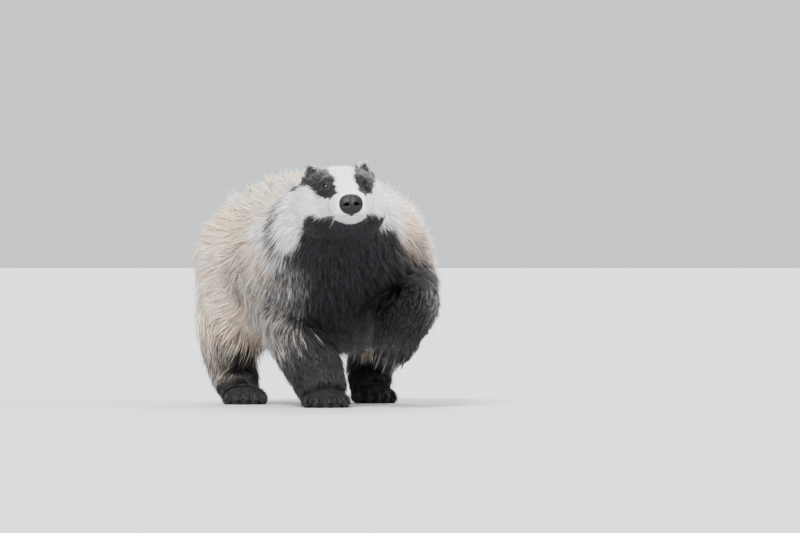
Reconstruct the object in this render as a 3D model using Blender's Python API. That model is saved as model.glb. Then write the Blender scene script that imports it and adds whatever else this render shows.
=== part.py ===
"""A European badger at life size, trotting, with its left forepaw lifted.

Metres, +Z up. The animal faces -Y and its right side is at -X. Flesh and coat are one solid, out to the
tips of the coat: a core half as deep as the coat, and flat locks that lie along it and rise to its tips.
The body is modelled whole and is then parted by thin cuts into neck, torso, tail and legs; the head is
made finer. Places are worked out with y = 0 at the shoulders; the last function moves everything so
that the origin lies on the ground under the middle of the bounding box.
"""

import math
import random

import bmesh
import bpy
import numpy as np
from mathutils import Matrix, Vector
from mathutils.bvhtree import BVHTree

# Driving dimensions
GAP = 0.0003
SIDES = {"left": 1, "right": -1}
NOSE_TIP = Vector((-0.036, -0.338, 0.264))
HEAD_YAW = math.radians(-2.0)
HEAD_ROLL = math.radians(4.0)
EYE_RADIUS = 0.0058
FORE_CLAW = dict(length=0.028, radius=0.0030, droop=math.radians(34.0))
HIND_CLAW = dict(length=0.014, radius=0.0026, droop=math.radians(52.0))

# The trunk's outline at the tips of the coat: y, x, half width, top, bottom
TRUNK = (
    (-0.225, -0.034, 0.050, 0.306, 0.222),
    (-0.175, -0.031, 0.073, 0.310, 0.188),
    (-0.125, -0.026, 0.098, 0.305, 0.150),
    (-0.065, -0.014, 0.120, 0.300, 0.112),
    (0.000, -0.006, 0.132, 0.303, 0.090),
    (0.080, -0.003, 0.146, 0.311, 0.078),
    (0.160, -0.003, 0.159, 0.317, 0.070),
    (0.230, -0.003, 0.164, 0.313, 0.072),
    (0.300, -0.003, 0.153, 0.294, 0.084),
    (0.350, -0.002, 0.125, 0.266, 0.106),
    (0.388, 0.000, 0.082, 0.234, 0.136),
    (0.412, 0.000, 0.040, 0.208, 0.162),
)
TRUNK_SQUARENESS = 2.08
TRUNK_MIDDLE = 0.48
# The head's outline, back from the nose tip: distance, half width, height above and below it
HEAD = (
    (0.006, 0.0150, 0.0110, 0.0130),
    (0.014, 0.0195, 0.0150, 0.0170),
    (0.028, 0.0230, 0.0185, 0.0200),
    (0.046, 0.0275, 0.0260, 0.0240),
    (0.064, 0.0350, 0.0355, 0.0290),
    (0.084, 0.0460, 0.0445, 0.0350),
    (0.106, 0.0545, 0.0490, 0.0430),
    (0.130, 0.0600, 0.0500, 0.0500),
    (0.156, 0.0640, 0.0485, 0.0560),
    (0.180, 0.0600, 0.0420, 0.0520),
)
HEAD_SQUARENESS = 2.15
# The lower jaw, under the head's front: distance back, half width, top and bottom from the tip's level
JAW = (
    (0.013, 0.0070, -0.0150, -0.0210),
    (0.020, 0.0115, -0.0140, -0.0236),
    (0.040, 0.0165, -0.0130, -0.0265),
    (0.064, 0.0250, -0.0110, -0.0320),
    (0.090, 0.0370, -0.0080, -0.0400),
    (0.112, 0.0420, -0.0040, -0.0460),
)
# What stands out of the head on each side, as (out, back, up) and radii: lip, brow and cheek
HEAD_BULGES = (
    ((0.0100, 0.0230, -0.0080), (0.0135, 0.0180, 0.0110)),
    ((0.0180, 0.0760, 0.0300), (0.0105, 0.0210, 0.0085)),
    ((0.0350, 0.1080, -0.0060), (0.0240, 0.0480, 0.0300)),
)
# The mouth line in the head's axes, from under the nose pad to the corner, and its depth and half height
MOUTH = (
    (0.0000, 0.0080, -0.0165),
    (0.0070, 0.0100, -0.0170),
    (0.0130, 0.0160, -0.0165),
    (0.0180, 0.0260, -0.0155),
    (0.0210, 0.0380, -0.0150),
    (0.0260, 0.0500, -0.0155),
    (0.0310, 0.0600, -0.0180),
)
MOUTH_DEPTH = 0.0034
MOUTH_HALF = 0.0012
# The left eye in the head's axes: its place, the way it looks, and the way its slit runs
EYE_PLACE = (0.0226, 0.0620, 0.0226)
EYE_FACING = (0.70, -0.60, 0.38)
EYE_SLIT = (0.55, 0.80, 0.10)
EYE_HOLLOW = ((0, 0, 0.0026), (0.0085, 0.0066, 0.0062))
EYE_SEAT = ((0, 0, -0.0012), (0.0080, 0.0066, EYE_RADIUS))
# The two rings that make an eye's lids: half width, half height and thickness
LIDS = ((0.0054, 0.0036, 0.0011), (0.0066, 0.0050, 0.0015))
LID_SUNK = 0.0004
# The nose pad as a centre and radii, and its left nostril's hole and slit
NOSE_PAD = ((0, 0.0098, -0.0005), (0.0155, 0.0110, 0.0130))
NOSTRIL_HOLE = ((0.0060, 0.0005, -0.0008), (0.0028, 0.0050, 0.0026))
NOSTRIL_SLIT = ((0.0105, 0.0030, -0.0024), (0.0052, 0.0050, 0.0012))
NOSTRIL_TILT = math.radians(12.0)
# The left ear: its root in the head's axes, how it is turned, its shell and the cup in it
EAR_PLACE = (0.0340, 0.1240, 0.0355)
EAR_TURN = math.radians(34.0)
EAR_LAY = math.radians(34.0)
EAR_SPLAY = math.radians(20.0)
EAR_SHELL = ((0, 0, 0.0040), (0.0140, 0.0080, 0.0185))
EAR_CUP = ((0, -0.0054, 0.0110), (0.0104, 0.0085, 0.0100))
# Each limb's outline from its root to its toes: x, y, z, half width, half depth
RIGHT_FORELEG = (
    (-0.060, 0.020, 0.215, 0.044, 0.056),
    (-0.074, 0.012, 0.165, 0.050, 0.062),
    (-0.067, -0.002, 0.120, 0.048, 0.055),
    (-0.050, -0.028, 0.078, 0.042, 0.045),
    (-0.038, -0.052, 0.045, 0.037, 0.036),
    (-0.033, -0.070, 0.022, 0.034, 0.026),
)
LEFT_FORELEG = (
    (0.058, 0.015, 0.215, 0.044, 0.055),
    (0.076, 0.002, 0.175, 0.048, 0.060),
    (0.082, -0.030, 0.150, 0.044, 0.050),
    (0.080, -0.068, 0.136, 0.042, 0.043),
    (0.069, -0.101, 0.119, 0.038, 0.036),
    (0.056, -0.121, 0.100, 0.031, 0.028),
)
RIGHT_HINDLEG = (
    (-0.080, 0.260, 0.200, 0.062, 0.085),
    (-0.100, 0.228, 0.150, 0.060, 0.080),
    (-0.114, 0.205, 0.105, 0.050, 0.062),
    (-0.113, 0.222, 0.064, 0.037, 0.042),
    (-0.108, 0.218, 0.036, 0.031, 0.032),
    (-0.104, 0.190, 0.020, 0.028, 0.024),
)
LEFT_HINDLEG = (
    (0.078, 0.285, 0.200, 0.062, 0.085),
    (0.092, 0.262, 0.150, 0.060, 0.080),
    (0.096, 0.252, 0.105, 0.050, 0.060),
    (0.088, 0.284, 0.068, 0.036, 0.042),
    (0.082, 0.284, 0.038, 0.030, 0.032),
    (0.080, 0.256, 0.020, 0.028, 0.024),
)
TAIL = (
    (0.000, 0.355, 0.225, 0.036, 0.036),
    (0.001, 0.395, 0.205, 0.034, 0.034),
    (0.005, 0.435, 0.175, 0.036, 0.033),
    (0.010, 0.475, 0.138, 0.036, 0.030),
    (0.015, 0.510, 0.100, 0.028, 0.023),
    (0.018, 0.528, 0.076, 0.013, 0.012),
)

# Each paw: where its toes begin, the way they point, its up, and how far apart and fanned the toes are
PAWS = {
    "fore_right": dict(
        root=(-0.032, -0.088, 0.0125), forward=(-0.04, -1, -0.02), up=(0, 0, 1), claw=FORE_CLAW,
        spread=0.0106, fan=math.radians(6.0),
    ),
    "fore_left": dict(
        root=(0.0500, -0.1330, 0.0835), forward=(-0.42, -0.38, -0.82), up=(-0.15, -0.9, 0.4), claw=FORE_CLAW,
        spread=0.0092, fan=math.radians(2.0),
    ),
    "hind_right": dict(
        root=(-0.103, 0.160, 0.0120), forward=(-0.06, -1, -0.02), up=(0, 0, 1), claw=HIND_CLAW,
        spread=0.0100, fan=math.radians(6.0),
    ),
    "hind_left": dict(
        root=(0.080, 0.226, 0.0120), forward=(0.08, -1, -0.02), up=(0, 0, 1), claw=HIND_CLAW,
        spread=0.0100, fan=math.radians(6.0),
    ),
}
PALM = ((0, -0.0100, 0.0010), (0.0300, 0.0260, 0.0150))
TOES = 5
TOE = ((0, 0.0099, -0.0010), (0.0078, 0.0136, 0.0098))
# The outer toes sit further back, by this much at one toe from the middle
TOE_SETBACK = 0.0022
# A claw starts inside its toe at (forward, up), and narrows to its tip; its section is (width, height)
CLAW_START = (0.0160, 0.0020)
CLAW_INSIDE = 0.006
CLAW_TIP = 0.0005
CLAW_TAPER = 0.7
CLAW_SECTION = (0.80, 1.15)
CLAW_DIP = math.radians(2.0)
OUTER_CLAW = 0.8
CLAW_FACES = 6
CLAW_STEPS = 3
LIMBS = {
    "foreleg_right": RIGHT_FORELEG,
    "foreleg_left": LEFT_FORELEG,
    "hindleg_right": RIGHT_HINDLEG,
    "hindleg_left": LEFT_HINDLEG,
}
# How deep the coat is: along the trunk (y, depth), down a leg and along the tail (root, end)
TRUNK_COAT = (
    (-0.225, 0.012), (-0.160, 0.018), (-0.065, 0.026), (0.080, 0.031), (0.300, 0.034), (0.412, 0.024),
)
# The belly's coat as a share of the flank's, and how far down a surface looks to count as belly
BELLY_COAT = 0.6
BELLY_SLOPE = 0.7
LEG_COAT = (0.022, 0.007)
TAIL_COAT = (0.020, 0.014)
# How far the hair stands past the tail's end
TAIL_TUFT = 0.035
# The core's depth in the coat, as a share of the way to the tips
CORE_SHARE = 0.5
# Planes and boxes that part the body into its nodes, and the level that the soles are cut at
NECK_FRONT = Vector((-0.032, -0.188, 0.260))
NECK_BACK = Vector((-0.012, -0.058, 0.200))
NECK_LEAN = Vector((0, -1.0, 0.3))
FLOOR = 0.003
TAIL_ROOT = Vector((0.001, 0.404, 0.200))
TAIL_LEAN = math.radians(38.0)
TAIL_BLOCK = ((-0.050, 0, -0.055), (0.050, 0.250, 0.060))
LEG_SLANT = math.radians(27.0)
# A leg's share of the body: its side (-1 right, 1 left), where the slanted inner face meets the ground
# plane, its front and back, its top, and a low box that holds the foot
LEG_SHARES = {
    "foreleg_right": dict(
        side=-1, inner=0.004, front=-0.080, back=0.085, top=0.245,
        foot=((-0.200, -0.250, -0.100), (0.006, 0.070, 0.104)),
    ),
    "foreleg_left": dict(
        side=1, inner=0.004, front=-0.100, back=0.075, top=0.245,
        foot=((0.020, -0.250, -0.100), (0.250, -0.020, 0.158)),
    ),
    "hindleg_right": dict(
        side=-1, inner=0.020, front=0.115, back=0.335, top=0.275,
        foot=((-0.250, 0.050, -0.100), (-0.030, 0.330, 0.062)),
    ),
    "hindleg_left": dict(
        side=1, inner=0.020, front=0.160, back=0.365, top=0.275,
        foot=((0.020, 0.110, -0.100), (0.250, 0.380, 0.062)),
    ),
}
LEG_REACH = 0.4
# Locks: rings along each as (share of its length, of its width, of its thickness), and their sizes
LOCK_RINGS = ((0.0, 0.60, 0.9), (0.28, 1.0, 1.0), (0.55, 0.92, 0.8), (0.80, 0.52, 0.55))
# A lock's depth in the core at its root, its width as a share of its length, and its thickness
LOCK_ROOT = 0.007
LOCK_WIDTH = 0.46
LOCK_THICKNESS = 0.0080
LOCK_SEED = 4
# Where the trunk's rings of locks stand along it (first, last, step), and how far apart locks are round it
LOCK_ROWS = (-0.175, 0.405, 0.063)
LOCK_SPACING = 0.084
# By how much a lock may stray: its angle round the trunk, its place along it, its length and its bend
LOCK_STRAY = (math.radians(5.0), 0.008)
LOCK_LENGTHS = (0.90, 1.15)
LOCK_BEND = 0.25
# How high a lock's tip stands over the core, as a share of the height from the core to the outline
LOCK_RISE = 1.2
# A trunk lock's length where the coat has no depth, and how it grows with the depth
LOCK_LENGTH = (0.045, 1.2)
LOCK_LIFT = 0.7
LIMB_STRAY = math.radians(8.0)
# A ray that goes further than this many limb radii has missed the limb
LIMB_REACH = 1.35
# How far along a limb's rows its direction is taken
LOCK_AHEAD = 0.3
# How far down the coat lies on the flanks for each step back
LIE_DROP = 0.8
# The rows of a leg and of the tail that locks start from, how many go round, and their length
LEG_LOCKS = dict(spans=(1.9, 3.1), turns=3, length=0.056)
TAIL_LOCKS = dict(spans=(1.2, 3.0), turns=3, length=0.060)
# How finely the shapes are fused: voxel, rounds of smoothing and faces kept
BODY_FUSE = (0.004, 6, 3350)
HEAD_FUSE = (0.0018, 10, None)
FACE_FUSE = (0.0011, 2, 1800)
SHARP = math.radians(50.0)
COLOURS = {
    "long_coat": ((0.62, 0.58, 0.53), 0.85),
    "dark_coat": ((0.05, 0.05, 0.05), 0.85),
    "face_coat": ((0.80, 0.79, 0.77), 0.85),
    "nose_skin": ((0.05, 0.05, 0.055), 0.45),
    "eye": ((0.01, 0.008, 0.006), 0.08),
    "claw_horn": ((0.25, 0.23, 0.20), 0.5),
}


def clear_scene():
    for thing in list(bpy.data.objects):
        bpy.data.objects.remove(thing)


def paint(name):
    """A plain material of the piece's own colour."""
    colour, roughness = COLOURS[name]
    made = bpy.data.materials.new(name)
    made.use_nodes = True
    shader = made.node_tree.nodes["Principled BSDF"]
    shader.inputs["Base Color"].default_value = (*colour, 1.0)
    shader.inputs["Roughness"].default_value = roughness
    shader.inputs["Metallic"].default_value = 0.0
    return made


def helper(name, mesh):
    """A hidden object: a cutter, or a shape on its way to being a node."""
    made = bpy.data.objects.new(name, mesh)
    bpy.context.scene.collection.objects.link(made)
    made.hide_render = True
    made.display_type = "WIRE"
    return made


def helper_from(name, shape):
    """A hidden object holding a bmesh, which is freed."""
    mesh = bpy.data.meshes.new(name)
    shape.to_mesh(mesh)
    shape.free()
    return helper(name, mesh)


def drop(*things):
    for thing in things:
        bpy.data.objects.remove(thing)


def frozen(thing, name):
    """A new hidden object with the mesh that thing's modifiers give."""
    graph = bpy.context.evaluated_depsgraph_get()
    return helper(name, bpy.data.meshes.new_from_object(thing.evaluated_get(graph)))


def smooth_rows(rows, steps):
    """Catmull-Rom rows through the given ones, with steps to each span."""
    points = np.array(rows, float)
    ends = np.vstack([2 * points[0] - points[1], points, 2 * points[-1] - points[-2]])
    made = []
    for k in range(len(points) - 1):
        a, b, c, d = ends[k : k + 4]
        for t in np.arange(steps) / steps:
            made.append(
                0.5
                * (
                    2 * b
                    + (c - a) * t
                    + (2 * a - 5 * b + 4 * c - d) * t**2
                    + (3 * b - a - 3 * c + d) * t**3
                )
            )
    made.append(points[-1])
    return np.array(made)


def tube(rings):
    """A closed bmesh through rings of points, with a point in the middle of each end."""
    made = bmesh.new()
    rows = [[made.verts.new(p) for p in ring] for ring in rings]
    count = len(rows[0])
    for one, two in zip(rows, rows[1:]):
        for k in range(count):
            after = (k + 1) % count
            made.faces.new((one[k], one[after], two[after], two[k]))
    for row in (rows[0], rows[-1]):
        middle = made.verts.new(sum((v.co for v in row), Vector()) / count)
        for k in range(count):
            made.faces.new((row[k], row[(k + 1) % count], middle))
    bmesh.ops.recalc_face_normals(made, faces=made.faces)
    return made


def oval(centre, side, rise, half_width, up, down, count=24, squareness=2.3):
    """A ring of points: a superellipse with its own height above and below its centre."""
    ring = []
    for k in range(count):
        angle = 2 * math.pi * k / count
        across, along = math.cos(angle), math.sin(angle)
        across = math.copysign(abs(across) ** (2 / squareness), across)
        along = math.copysign(abs(along) ** (2 / squareness), along)
        height = up if along > 0 else down
        ring.append(centre + side * (half_width * across) + rise * (height * along))
    return ring


def trunk_mesh(coat):
    """The trunk, with a share of the coat's depth taken off all round."""
    rings = []
    for y, x, half_width, top, bottom in smooth_rows(TRUNK, 3):
        depth = coat * np.interp(y, *zip(*TRUNK_COAT))
        half_width, top, bottom = half_width - depth, top - depth, bottom + BELLY_COAT * depth
        middle = bottom + TRUNK_MIDDLE * (top - bottom)
        centre = Vector((x, y, middle))
        rings.append(
            oval(centre, Vector((1, 0, 0)), Vector((0, 0, 1)), half_width, top - middle, middle - bottom,
                 squareness=TRUNK_SQUARENESS)
        )
    return tube(rings)


def limb_mesh(rows, coats, coat, count=16):
    """A tube along a limb, with rings square to its path and a share of the coat's depth taken off."""
    fine = smooth_rows(rows, 3)
    depths = coat * np.interp(np.linspace(0, 1, len(fine)), (0, 1), coats)
    fine[:, 3:] -= depths[:, None]
    places = [Vector(row[:3]) for row in fine]
    rings = []
    for k, row in enumerate(fine):
        ahead = places[min(k + 1, len(places) - 1)] - places[max(k - 1, 0)]
        ahead.normalize()
        side = (Vector((1, 0, 0)) - ahead * ahead.x).normalized()
        rise = side.cross(ahead)
        rings.append(oval(places[k], side, rise, row[3], row[4], row[4], count, 2.0))
    return tube(rings)


def tail_rows(coat):
    """The tail's rows, with the end drawn in by the coat that stands past it."""
    rows = [list(row) for row in TAIL]
    root, end = Vector(rows[0][:3]), Vector(rows[-1][:3])
    short = 1 - coat * TAIL_TUFT / (end - root).length
    for row in rows:
        row[:3] = root + (Vector(row[:3]) - root) * short
    return rows


def head_frame():
    """From the head's own axes (x to its left, y back, z up, from the nose tip) to the model's."""
    turn = Matrix.Rotation(HEAD_YAW, 4, "Z") @ Matrix.Rotation(HEAD_ROLL, 4, "Y").inverted()
    return Matrix.Translation(NOSE_TIP) @ turn


def head_shape(rows, steps=4):
    rings = []
    for back, half_width, up, down in smooth_rows(rows, steps):
        rings.append(
            oval(Vector((0, back, 0)), Vector((1, 0, 0)), Vector((0, 0, 1)), half_width, up, down, 28,
                 HEAD_SQUARENESS)
        )
    return tube(rings)


def jaw_shape():
    rings = []
    for back, half_width, top, bottom in smooth_rows(JAW, 3):
        middle = 0.5 * (top + bottom)
        half = 0.5 * (top - bottom)
        rings.append(
            oval(Vector((0, back, middle)), Vector((1, 0, 0)), Vector((0, 0, 1)), half_width, half, half, 20)
        )
    return tube(rings)


def ball(centre, radii, turn=Matrix(), segments=16, rows=10):
    """A bmesh ellipsoid."""
    made = bmesh.new()
    bmesh.ops.create_uvsphere(made, u_segments=segments, v_segments=rows, radius=1.0)
    made.transform(Matrix.Translation(centre) @ turn @ Matrix.Diagonal((*radii, 1.0)))
    return made


def to_side(point, side):
    """A point given for the animal's left, on the side asked for: 1 left, -1 right."""
    return Vector((side * point[0], point[1], point[2]))


def head_balls():
    return [ball(to_side(place, side), radii) for place, radii in HEAD_BULGES for side in (-1, 1)]


def paw_frame(root, forward, up):
    """Axes at a paw: x to the animal's left, y forward along the toes, z out of the paw's back."""
    along = Vector(forward).normalized()
    top = Vector(up)
    top = (top - along * top.dot(along)).normalized()
    side = along.cross(top)
    return Matrix.Translation(root) @ Matrix((
        (side.x, along.x, top.x, 0),
        (side.y, along.y, top.y, 0),
        (side.z, along.z, top.z, 0),
        (0, 0, 0, 1),
    ))


def toe_frames(paw):
    """Each toe's axes, from the paw's inner side to its outer one."""
    base = paw_frame(paw["root"], paw["forward"], paw["up"])
    frames = []
    for k in range(TOES):
        step = k - (TOES - 1) / 2
        place = Matrix.Translation((step * paw["spread"], -TOE_SETBACK * step**2, 0))
        frames.append(base @ place @ Matrix.Rotation(-step * paw["fan"], 4, "Z"))
    return frames


def paw_balls(paw):
    """The palm and the toes of one paw."""
    made = [ball(*PALM)]
    made[0].transform(paw_frame(paw["root"], paw["forward"], paw["up"]))
    for frame in toe_frames(paw):
        toe = ball(*TOE, segments=12, rows=8)
        toe.transform(frame)
        made.append(toe)
    return made


def joined(name, meshes):
    """One hidden object with several closed shapes in it."""
    whole = bmesh.new()
    for piece in meshes:
        spare = bpy.data.meshes.new("spare")
        piece.to_mesh(spare)
        piece.free()
        whole.from_mesh(spare)
        bpy.data.meshes.remove(spare)
    return helper_from(name, whole)


def fused(thing, name, fineness):
    """Closed shapes that overlap made one skin: remeshed, smoothed and thinned. The rough one goes."""
    voxel, smoothing, faces_kept = fineness
    remesh = thing.modifiers.new("fuse", "REMESH")
    remesh.mode = "VOXEL"
    remesh.voxel_size = voxel
    remesh.adaptivity = 0.0
    smooth = thing.modifiers.new("soften", "SMOOTH")
    smooth.iterations = smoothing
    smooth.factor = 0.5
    if faces_kept:
        graph = bpy.context.evaluated_depsgraph_get()
        whole = len(thing.evaluated_get(graph).data.polygons) * 2
        thin = thing.modifiers.new("thin", "DECIMATE")
        thin.ratio = faces_kept / whole
    made = frozen(thing, name)
    drop(thing)
    return made


def in_head(meshes):
    frame = head_frame()
    for piece in meshes:
        piece.transform(frame)
    return meshes


def whole_body(coat):
    """All the animal's shapes; coat is the share of the coat's depth that is taken off them."""
    pieces = [trunk_mesh(coat), limb_mesh(tail_rows(coat), TAIL_COAT, coat)]
    pieces += [limb_mesh(rows, LEG_COAT, coat) for rows in LIMBS.values()]
    pieces += in_head([head_shape(HEAD), jaw_shape(), *head_balls()])
    for paw in PAWS.values():
        pieces += paw_balls(paw)
    return joined("whole_body", pieces)


def slab(name, point, outward, reach=0.5):
    """A big box with one face on the plane through point, lying on the side that outward points to."""
    made = bmesh.new()
    bmesh.ops.create_cube(made, size=2 * reach)
    turn = Vector(outward).to_track_quat("Z", "Y").to_matrix().to_4x4()
    middle = Vector(point) + Vector(outward).normalized() * reach
    made.transform(Matrix.Translation(middle) @ turn)
    return helper_from(name, made)


def block(low, high, matrix, grow):
    """A box from one corner to the other in matrix's axes, made larger on every side by grow."""
    made = bmesh.new()
    bmesh.ops.create_cube(made, size=1.0)
    low, high = Vector(low), Vector(high)
    size = high - low + Vector((2 * grow,) * 3)
    made.transform(matrix @ Matrix.Translation((low + high) / 2) @ Matrix.Diagonal((*size, 1.0)))
    return made


def leg_axes(name):
    """The slanted axes of a leg's share, with x outward and z up along the slant."""
    share = LEG_SHARES[name]
    side = share["side"]
    outward = Vector((side * math.cos(LEG_SLANT), 0, -math.sin(LEG_SLANT)))
    upward = Vector((side * math.sin(LEG_SLANT), 0, math.cos(LEG_SLANT)))
    return Matrix((
        (outward.x, 0, upward.x, side * share["inner"]),
        (0, 1, 0, 0),
        (outward.z, 0, upward.z, 0),
        (0, 0, 0, 1),
    ))


def leg_share(name, grow):
    """The space that one leg takes of the body: a slanted box and the foot's box, as one object."""
    share = LEG_SHARES[name]
    slanted = block((0, share["front"], -LEG_REACH), (LEG_REACH, share["back"], share["top"]), leg_axes(name), grow)
    if share["side"] < 0:
        # The right side's axes are mirrored, which turns the box inside out
        bmesh.ops.reverse_faces(slanted, faces=slanted.faces)
    slanted = helper_from(name + "_slant", slanted)
    foot = helper_from(name + "_foot", block(*share["foot"], Matrix(), grow))
    return combined(slanted, [foot], "UNION", name + "_share")


def tail_axes():
    """Axes at the tail's root, with y along the tail."""
    return Matrix.Translation(TAIL_ROOT) @ Matrix.Rotation(-TAIL_LEAN, 4, "X")


def tail_share(grow):
    """The space that the tail takes: a box behind a plane square to the tail's root."""
    return helper_from("tail_share", block(*TAIL_BLOCK, tail_axes(), grow))


def combined(thing, others, operation, name):
    """A Boolean of thing with the others, as one new object; all that went in is removed.

    The fused skins have many small faces that cross many locks: there EXACT leaves some of them out, and
    MANIFOLD, which needs every piece closed as they all are, doesn't.
    """
    group = bpy.data.collections.new("group")
    for other in others:
        group.objects.link(other)
    boolean = thing.modifiers.new("boolean", "BOOLEAN")
    boolean.operation = operation
    boolean.operand_type = "COLLECTION"
    boolean.collection = group
    boolean.solver = "MANIFOLD"
    made = frozen(thing, name)
    drop(thing, *others)
    bpy.data.collections.remove(group)
    return made


def largest_piece(thing):
    """Leaves only the largest closed surface."""
    mesh = bmesh.new()
    mesh.from_mesh(thing.data)
    bmesh.ops.remove_doubles(mesh, verts=mesh.verts, dist=1e-6)
    unseen, pieces = set(mesh.faces), []
    while unseen:
        stack, piece = [unseen.pop()], []
        while stack:
            face = stack.pop()
            piece.append(face)
            for edge in face.edges:
                for other in edge.link_faces:
                    if other in unseen:
                        unseen.remove(other)
                        stack.append(other)
        pieces.append(piece)
    pieces.sort(key=lambda piece: sum(face.calc_area() for face in piece))
    spare = [face for piece in pieces[:-1] for face in piece]
    bmesh.ops.delete(mesh, geom=spare, context="FACES")
    mesh.to_mesh(thing.data)
    mesh.free()
    return thing


def copied(thing, name):
    return helper(name, thing.data.copy())


def grown(thing, name):
    """A hidden copy whose surface stands out by the gap, to cut what fits against the thing."""
    made = copied(thing, name)
    mesh = bmesh.new()
    mesh.from_mesh(made.data)
    mesh.normal_update()
    moves = [vert.normal * GAP for vert in mesh.verts]
    for vert, move in zip(mesh.verts, moves):
        vert.co += move
    mesh.to_mesh(made.data)
    mesh.free()
    return made


def node(thing, name, material):
    """The finished sub-part: shown, named and painted."""
    thing.name = name
    thing.data.name = name
    thing.hide_render = False
    thing.display_type = "TEXTURED"
    thing.data.materials.clear()
    thing.data.materials.append(material)
    thing.data.shade_smooth()
    thing.data.set_sharp_from_angle(angle=SHARP)
    return thing


def floor_cutter():
    return slab("floor", (0, 0, FLOOR), (0, 0, -1))


def leg_node(body, name, material):
    made = combined(copied(body, name), [leg_share(name, 0.0)], "INTERSECT", name)
    made = combined(made, [floor_cutter()], "DIFFERENCE", name)
    return node(largest_piece(made), name, material)


def tail_node(body, material):
    made = combined(copied(body, "tail"), [tail_share(0.0)], "INTERSECT", "tail")
    return node(largest_piece(made), "tail", material)


def torso_node(body, material):
    cuts = [leg_share(name, GAP) for name in LEG_SHARES]
    cuts.append(tail_share(GAP))
    cuts.append(slab("front", NECK_BACK - NECK_LEAN.normalized() * GAP, NECK_LEAN))
    made = copied(body, "torso")
    for cut in cuts:
        made = combined(made, [cut], "DIFFERENCE", "torso")
    return node(largest_piece(made), "torso", material)


def neck_node(body, material):
    cuts = [
        slab("front", NECK_FRONT - NECK_LEAN.normalized() * GAP, NECK_LEAN),
        slab("back", NECK_BACK, -NECK_LEAN),
        leg_share("foreleg_left", GAP),
        leg_share("foreleg_right", GAP),
    ]
    made = copied(body, "neck")
    for cut in cuts:
        made = combined(made, [cut], "DIFFERENCE", "neck")
    return node(largest_piece(made), "neck", material)


def eye_frames():
    """Each eye's axes in the head's own: z out of the pupil, x along the slit from the nose side back."""
    frames = {}
    for side, sign in SIDES.items():
        out = to_side(EYE_FACING, sign).normalized()
        along = to_side(EYE_SLIT, sign)
        along = (along - out * along.dot(out)).normalized()
        rise = out.cross(along)
        turn = Matrix((
            (along.x, rise.x, out.x, 0),
            (along.y, rise.y, out.y, 0),
            (along.z, rise.z, out.z, 0),
            (0, 0, 0, 1),
        ))
        frames[side] = Matrix.Translation(to_side(EYE_PLACE, sign)) @ turn
    return frames


def ring_mesh(half_width, half_height, thick, rise, count=20, faces=8):
    """An oval ring with round section, its middle line lifted along z at the ends by the eye's curve."""
    made = bmesh.new()
    rows = []
    for k in range(count):
        angle = 2 * math.pi * k / count
        middle = Vector((half_width * math.cos(angle), half_height * math.sin(angle), 0))
        middle.z = rise - middle.length_squared / (2 * EYE_RADIUS)
        outward = Vector((math.cos(angle), math.sin(angle), 0))
        row = []
        for f in range(faces):
            turn = 2 * math.pi * f / faces
            offset = outward * (thick * math.cos(turn)) + Vector((0, 0, thick * math.sin(turn)))
            row.append(made.verts.new(middle + offset))
        rows.append(row)
    for k in range(count):
        one, two = rows[k], rows[(k + 1) % count]
        for f in range(faces):
            after = (f + 1) % faces
            made.faces.new((one[f], one[after], two[after], two[f]))
    bmesh.ops.recalc_face_normals(made, faces=made.faces)
    return made


def mouth_mesh(skin):
    """The slit between the lips, round the front and back along both sides, as one closed strip."""
    tree = BVHTree.FromObject(skin, bpy.context.evaluated_depsgraph_get())
    to_head = head_frame().inverted()
    half = [to_head @ tree.find_nearest(to_head.inverted() @ Vector(point))[0] for point in MOUTH]
    half[0].x = 0
    path = [Vector((-p.x, p.y, p.z)) for p in reversed(half)] + half[1:]
    rings = []
    for k, place in enumerate(path):
        ahead = (path[min(k + 1, len(path) - 1)] - path[max(k - 1, 0)]).normalized()
        out = ahead.cross(Vector((0, 0, 1))).normalized()
        rings.append(oval(place, out, Vector((0, 0, 1)), MOUTH_DEPTH, MOUTH_HALF, MOUTH_HALF, 8, 2.0))
    return tube(rings)


def in_model(name, shape, frame):
    """A hidden object from a shape given in a frame of the head's own axes."""
    shape.transform(head_frame() @ frame)
    return helper_from(name, shape)


def with_lids(skin, frame):
    """The head's skin with a hollow for one eye, and the two lid rings round the eye's seat."""
    skin = combined(skin, [in_model("hollow", ball(*EYE_HOLLOW, segments=20, rows=14), frame)], "DIFFERENCE", "skin")
    lids = [in_model("seat", ball(*EYE_SEAT, segments=20, rows=14), frame)]
    for half_width, half_height, thick in LIDS:
        lids.append(in_model("lid", ring_mesh(half_width, half_height, thick, EYE_RADIUS - LID_SUNK), frame))
    return combined(skin, lids, "UNION", "skin")


def head_node(material):
    """The head, fused finer than the body, with lids and a mouth line, and room for eyes and nose pad."""
    core = joined("head_core", in_head([head_shape(HEAD), jaw_shape(), *head_balls()]))
    skin = fused(core, "skin", HEAD_FUSE)
    for frame in eye_frames().values():
        skin = with_lids(skin, frame)
    mouth = in_model("mouth", mouth_mesh(skin), Matrix())
    skin = combined(skin, [mouth], "DIFFERENCE", "skin")
    made = fused(skin, "head", FACE_FUSE)
    made = combined(made, [slab("back", NECK_FRONT, -NECK_LEAN)], "DIFFERENCE", "head")
    for frame in eye_frames().values():
        room = ball((0, 0, 0), (EYE_RADIUS + GAP,) * 3, segments=14, rows=9)
        made = combined(made, [in_model("room", room, frame)], "DIFFERENCE", "head")
    made = combined(made, [in_model("room", nose_ball(GAP), Matrix())], "DIFFERENCE", "head")
    return node(largest_piece(made), "head", material)


def nose_ball(grow):
    place, radii = NOSE_PAD
    return ball(place, [radius + grow for radius in radii], segments=16, rows=10)


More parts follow.
